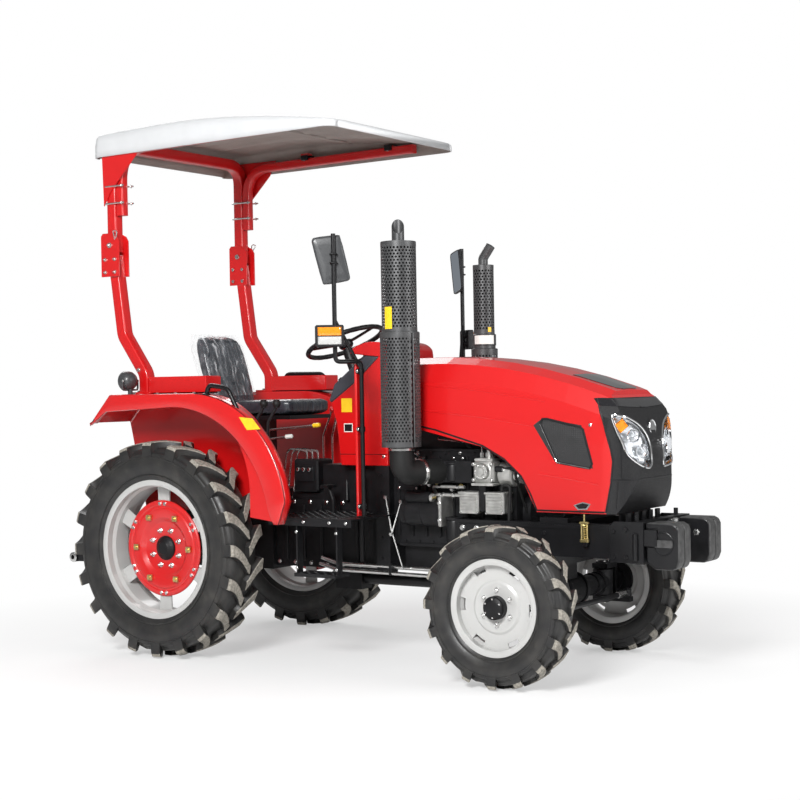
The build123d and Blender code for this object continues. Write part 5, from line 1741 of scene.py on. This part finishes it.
def frame_dress():
    """The front frame's side plates, bolts, the bars below the nose, the tow pin and the carrier's edge."""
    made = Build(BLACK)
    plate = [(2278, 536), (2440, 532), (2440, 714), (2300, 714), (2278, 690)]
    strap = [(1500, 590), (1700, 590), (1700, 680), (1500, 680)]
    rib = [(1720, 672), (2270, 672), (2270, 690), (1720, 690)]
    tow = [(2444, 60, 690), (2470, 60, 705), (2470, 20, 705), (2444, 20, 690)]
    for side in SIDES.values():
        way = (0, side, 0)
        wall = side * 240
        side_prism(made, plate, wall, side * 247, edge=2)
        side_prism(made, strap, wall, side * 246, edge=2)
        side_prism(made, rib, wall, side * 244, edge=1)
        bolts(made, [(x, side * 246, z) for z in (612, 660) for x in (1525, 1600, 1675)], way, 11, STEEL)
        cylinder(made, (2405, side * 253, 546), (2405, side * 253, 664), 12, 20, edge=3)
        bolts(made, upright([(2300, 560), (2300, 670), (2360, 560), (2360, 680)], side * 247), way, 10)
        bolts(made, [(x, wall, z) for x in (1850, 1950) for z in (570, 650)], way, 10)
        cylinder(made, (2390, side * 205, 715), (2390, side * 205, 742), 10, 14)
        pipe(made, mirrored(tow, side), 12, 6)
    for y in range(-150, 151, 75):
        box(made, (2318, y - 18, 690), (2330, y + 18, 742), edge=2)
    box(made, (2312, -190, 690), (2336, 190, 702), edge=2)
    box(made, (2296, -190, 690), (2304, 125, 742), edge=2)
    box(made, (2250, -200, 690), (2402, 200, 698), edge=2)
    cylinder(made, (2470, 0, 560), (2470, 0, 712), 14, 20, STEEL, 3)
    spin(made, [(14, 0), (24, 0), (24, 12), (14, 16)], Matrix.Translation((2470, 0, 700)), 24, STEEL)
    made.make("front_frame_dress", "chassis", "black_paint")


def axle_dress():
    """Bolts and ribs on the front axle, caps on the kingpins and hubs, and the tie rod's ends."""
    made = Build(IRON)
    x, hub_y, z = FRONT_WHEEL
    left = (0, 1, 0)
    for y in (-15, 135):
        place = facing((x, y, z), left)
        spin(made, [(46, -8), (78, -8), (80, -4), (80, 4), (78, 8), (46, 8)], place, 36)
        bolts(made, round_about(place, 73, 8, 10), left, 5, STEEL)
    for y in (-360, -300, 300, 360):
        spin(made, [(46, -10), (54, -8), (54, 8), (46, 10)], facing((x, y, z), left), 32)
    made.make("front_axle_dress", "chassis", "black_iron")
    for label, side in SIDES.items():
        knuckle = Build(IRON)
        for pin_z, up in ((445, 1), (265, -1)):
            place = facing((x, side * 430, pin_z), (0, 0, up))
            spin(knuckle, [(34, 0), (34, 6), (26, 10), (12, 12), (0.5, 12)], place, 28)
            bolts(knuckle, round_about(place, 27, 8, 4, pi / 4), (0, 0, up), 5, STEEL)
        knuckle.make("knuckle_caps_" + label, "knuckle_" + label, "black_iron")
        hub = Build(IRON)
        place = facing((x, side * (hub_y + 52), z), (0, side, 0))
        spin(hub, [(48, -4), (48, 4), (40, 10), (22, 13), (0.5, 14)], place, 32)
        bolts(hub, round_about(place, 40, 8, 6, pi / 6), (0, side, 0), 4, STEEL)
        hub.make("front_hub_cap_" + label, "front_wheel_" + label, "black_iron")
    ends = Build(STEEL)
    for y in (-360, 360):
        cylinder(ends, (2030, y - 40, 307), (2030, y + 40, 307), 16.5, 6, edge=2)
    ends.make("tie_rod_sleeves", "tie_rod", "bare_alloy")


def hitch_dress():
    """Sleeves on the lift rods, pin heads on the links, and the splined power shaft under its guard."""
    rods = Build(STEEL)
    links = Build(STEEL)
    for side in SIDES.values():
        top = Vector((-410, side * 188, 862))
        low = Vector((-360, side * 232, 430))
        cylinder(rods, top.lerp(low, 0.42), top.lerp(low, 0.72), 19, 6, edge=2)
        cylinder(rods, top.lerp(low, 0.74), top.lerp(low, 0.78), 18, 20, edge=2)
        spot = top.lerp(low, 0.5)
        pipe(rods, [spot, spot + Vector((-50, 0, 10)), spot + Vector((-50, 0, 70))], 10, 4, 8)
        ring = [(20, -4), (26, -2), (26, 2), (20, 4), (12, 4), (12, -4)]
        spin(links, ring, facing((-860, side * 382, 430), (0, side, 0)), 28, closed=True)
        bolts(links, [(-60 - 800 * t, side * (214 + 150 * t), 452) for t in (0.25, 0.8)], UP, 8)
    rods.make("lift_rod_sleeves", "lift_rods", "bare_alloy")
    links.make("lower_link_pins", "lower_links", "bare_alloy")
    made = Build(BLACK)
    shaft_z = 560
    for y, z in ring_points(16.5, 6):
        cylinder(made, (-205, y, shaft_z + z), (-274, y, shaft_z + z), 3.5, 8, STEEL)
    guard = [(75, -30), (75, 40), (60, 62), (-60, 62), (-75, 40), (-75, -30)]
    for rise in (0, 4):
        loft(made, [[(x, y, shaft_z + z + rise) for y, z in guard] for x in (-192, -300)])
    places = [(-190, y, z) for y in (-100, -50, 50, 100) for z in (460, 660, 780)]
    bolts(made, places, (-1, 0, 0), 10, STEEL)
    made.make("hitch_dress", "chassis", "black_iron")


def housing_dress():
    """Bolts and ribs on the gearbox and axle trumpets, and the valve block under the seat."""
    made = Build(IRON)
    for side in SIDES.values():
        way = (0, side, 0)
        bolts(made, [(355 + 100 * i, side * 130, z) for i in range(6) for z in (745, 440)], way, 9, STEEL)
        for x in range(400, 841, 110):
            box(made, (x, side * 129, 450), (x + 14, side * 140, 735))
        flange = facing((0, side * 160, 535), way)
        spin(made, [(78, -10), (120, -10), (122, 0), (118, 12), (78, 16)], flange, 40)
        bolts(made, round_about(flange, 106, 12, 10), way, 8, STEEL)
        brake = facing((0, side * 300, 535), way)
        spin(made, [(78, -45), (104, -40), (108, 0), (104, 40), (78, 45)], brake, 40)
        box(made, (905, side * 188, 470), (930, side * 202, 910), edge=4)
        bolts(made, [(1030, side * 190, z) for z in (490, 590, 810, 890)], way, 8)
    box(made, (430, -120, 742), (690, 120, 800), edge=10)
    box(made, (470, -150, 798), (620, -20, 960), edge=8)
    box(made, (490, -160, 850), (600, -148, 930))
    for x in (510, 545, 580):
        cylinder(made, (x, -160, 910), (x, -172, 910), 10, 16, STEEL, 2)
        line = [(x, -90, 955), (x, -90, 1000), (x - 150, -60, 1010), (x - 190, -60, 742)]
        pipe(made, line, 50, 6, look=STEEL)
    cylinder(made, (650, -60, 798), (650, -60, 880), 26, 24, edge=4)
    pipe(made, [(650, -60, 875), (690, -60, 905), (770, -110, 905), (800, -150, 760)], 30, 8)
    made.make("housing_dress", "chassis", "black_iron")


# Light, floor and camera, in metres

def camera():
    """The photograph's camera, fitted to its wheels, roof and weights."""
    yaw, pitch, roll = 0.5801, -0.0185, -0.0175
    ahead = Vector((-sin(yaw) * cos(pitch), cos(yaw) * cos(pitch), sin(pitch)))
    right = ahead.cross(Vector(UP)).normalized()
    up = right.cross(ahead)
    across = right * cos(roll) + up * sin(roll)
    upward = up * cos(roll) - right * sin(roll)
    view = bpy.data.objects.new("camera", bpy.data.cameras.new("camera"))
    axes = Matrix((across, upward, -ahead)).transposed().to_4x4()
    view.matrix_world = Matrix.Translation((4.5231, -6.4064, 1.3147)) @ axes
    view.data.lens = 70.94
    view.data.sensor_width = 36
    view.data.shift_x = -0.0343
    view.data.shift_y = 0.0192
    view.data.clip_end = 200
    bpy.context.scene.collection.objects.link(view)
    bpy.context.scene.camera = view


def lamp(name, place, target, size, power):
    data = bpy.data.lights.new(name, "AREA")
    data.shape = "RECTANGLE"
    data.size, data.size_y = size
    data.energy = power
    made = bpy.data.objects.new(name, data)
    made.location = place
    made.rotation_euler = (Vector(target) - Vector(place)).to_track_quat("-Z", "Y").to_euler()
    bpy.context.scene.collection.objects.link(made)


def add_math(tree, operation, first, second):
    """One sum on two other nodes' values."""
    made = add_node(tree, "Math")
    made.operation = operation
    tree.links.new(first, made.inputs[0])
    tree.links.new(second, made.inputs[1])
    return made.outputs["Value"]


def sky():
    """An even pale sky, plain white where the camera looks at it, also through glass."""
    world = bpy.data.worlds.new("studio")
    world.use_nodes = True
    tree = world.node_tree
    path = add_node(tree, "LightPath")
    seen = add_math(tree, "MAXIMUM", path.outputs["Is Camera Ray"], path.outputs["Is Transmission Ray"])
    strength = add_node(tree, "MapRange", value=seen, to_min=0.27, to_max=1.0)
    wire(tree, tree.nodes["Background"], color=(1.0, 1.0, 1.0, 1), strength=strength.outputs["Result"])
    bpy.context.scene.world = world


def floor_material():
    """A pale matt floor that keeps the shadow, and turns into plain white away from the tractor."""
    made, tree, main = shader("floor")
    pale = ramp(tree, noise(tree, 3.0), (0.3, grey(0.93)), (0.7, grey(0.95)))
    wire(tree, main, base_color=pale, roughness=0.8, specular_ior_level=0.1)
    length = add_node(tree, "VectorMath", vector=own_place(tree))
    length.operation = "LENGTH"
    away = add_node(tree, "MapRange", value=length.outputs["Value"], from_min=1.4, from_max=3.2, to_min=0.45)
    path = add_node(tree, "LightPath")
    share = add_math(tree, "MULTIPLY", away.outputs["Result"], path.outputs["Is Camera Ray"])
    mix = add_node(tree, "MixShader", fac=share)
    tree.links.new(main.outputs["BSDF"], mix.inputs[1])
    tree.links.new(add_node(tree, "Emission").outputs["Emission"], mix.inputs[2])
    wire(tree, tree.nodes["Material Output"], surface=mix.outputs["Shader"])
    return made


def studio():
    """A pale floor, the sky and three soft lamps."""
    bpy.context.scene.view_settings.view_transform = "Standard"
    sky()
    floor_mesh = bpy.data.meshes.new("floor")
    reach = 60
    floor_mesh.from_pydata([(x, y, 0) for x, y in rectangle(reach, reach)], [], [(0, 1, 2, 3)])
    floor = bpy.data.objects.new("floor", floor_mesh)
    bpy.context.scene.collection.objects.link(floor)
    floor_mesh.materials.append(floor_material())
    lamp("key", (2.2, -6.0, 4.2), (0, 0, 0.9), (2.0, 2.0), 540)
    lamp("fill", (6.0, 0.5, 2.6), (0.8, 0, 0.8), (3, 2.4), 135)
    lamp("back", (-4.5, 3.5, 5.0), (-0.4, 0, 1.2), (4, 3), 160)


# Finishes of the frame's own nodes

def paint_all():
    finishes = {
        RED: ["rops_posts", "rops_hoop", "hood_shell", "cowl", "fender_left", "fender_right",
              "rear_disc_left", "rear_disc_right"],
        WHITE: ["canopy", "rear_rim_left", "rear_rim_right", "front_rim_left", "front_rim_right"],
        RUBBER: ["rear_tyre_left", "rear_tyre_right", "front_tyre_left", "front_tyre_right"],
        IRON: ["front_axle", "knuckle_left", "knuckle_right", "transmission", "rear_axle", "hitch_frame",
               "engine_block", "front_weights", "rear_hub_left", "rear_hub_right", "front_hub_left",
               "front_hub_right"],
        BLACK: ["tie_rod", "drive_shaft", "front_frame", "footplates", "handrails", "seat_base",
                "mirror_arms", "controls", "lower_links", "lift_arms", "lift_rods", "exhaust_stack",
                "intake_stack"],
        ALLOY: ["engine_pumps", "radiator"],
        PLASTIC: ["steering_column", "steering_wheel", "dash", "mirrors", "seat_cushion", "seat_back"],
        SPECKLED: ["front_mask"],
        PUNCHED: ["hood_mesh"],
        CLEAR_LENS: ["headlamps"],
        AMBER: ["lamps"],
    }
    for look, names in finishes.items():
        for name in names:
            nodes[name].data.materials.clear()
            nodes[name].data.materials.append(look)


paint_all()
wheels()
exhaust()
intake()
for label, side in SIDES.items():
    fender(label, side)
    headlamp(label, side)
    mirror(label, side)
    mirror_tube(label, side)
    indicator(label, side)
work_lamp()
handrails()
console()
instrument_panel()
steering_wheel()
seat()
checker_plate()
levers()
pumps()
engine_dress()
fan_and_belt()
radiator_dress()
weights()
frame_dress()
axle_dress()
hitch_dress()
housing_dress()
canopy()
lower_posts()
upper_hoop()
hood_dress()
mask_dress()
latch()
studio()
camera()
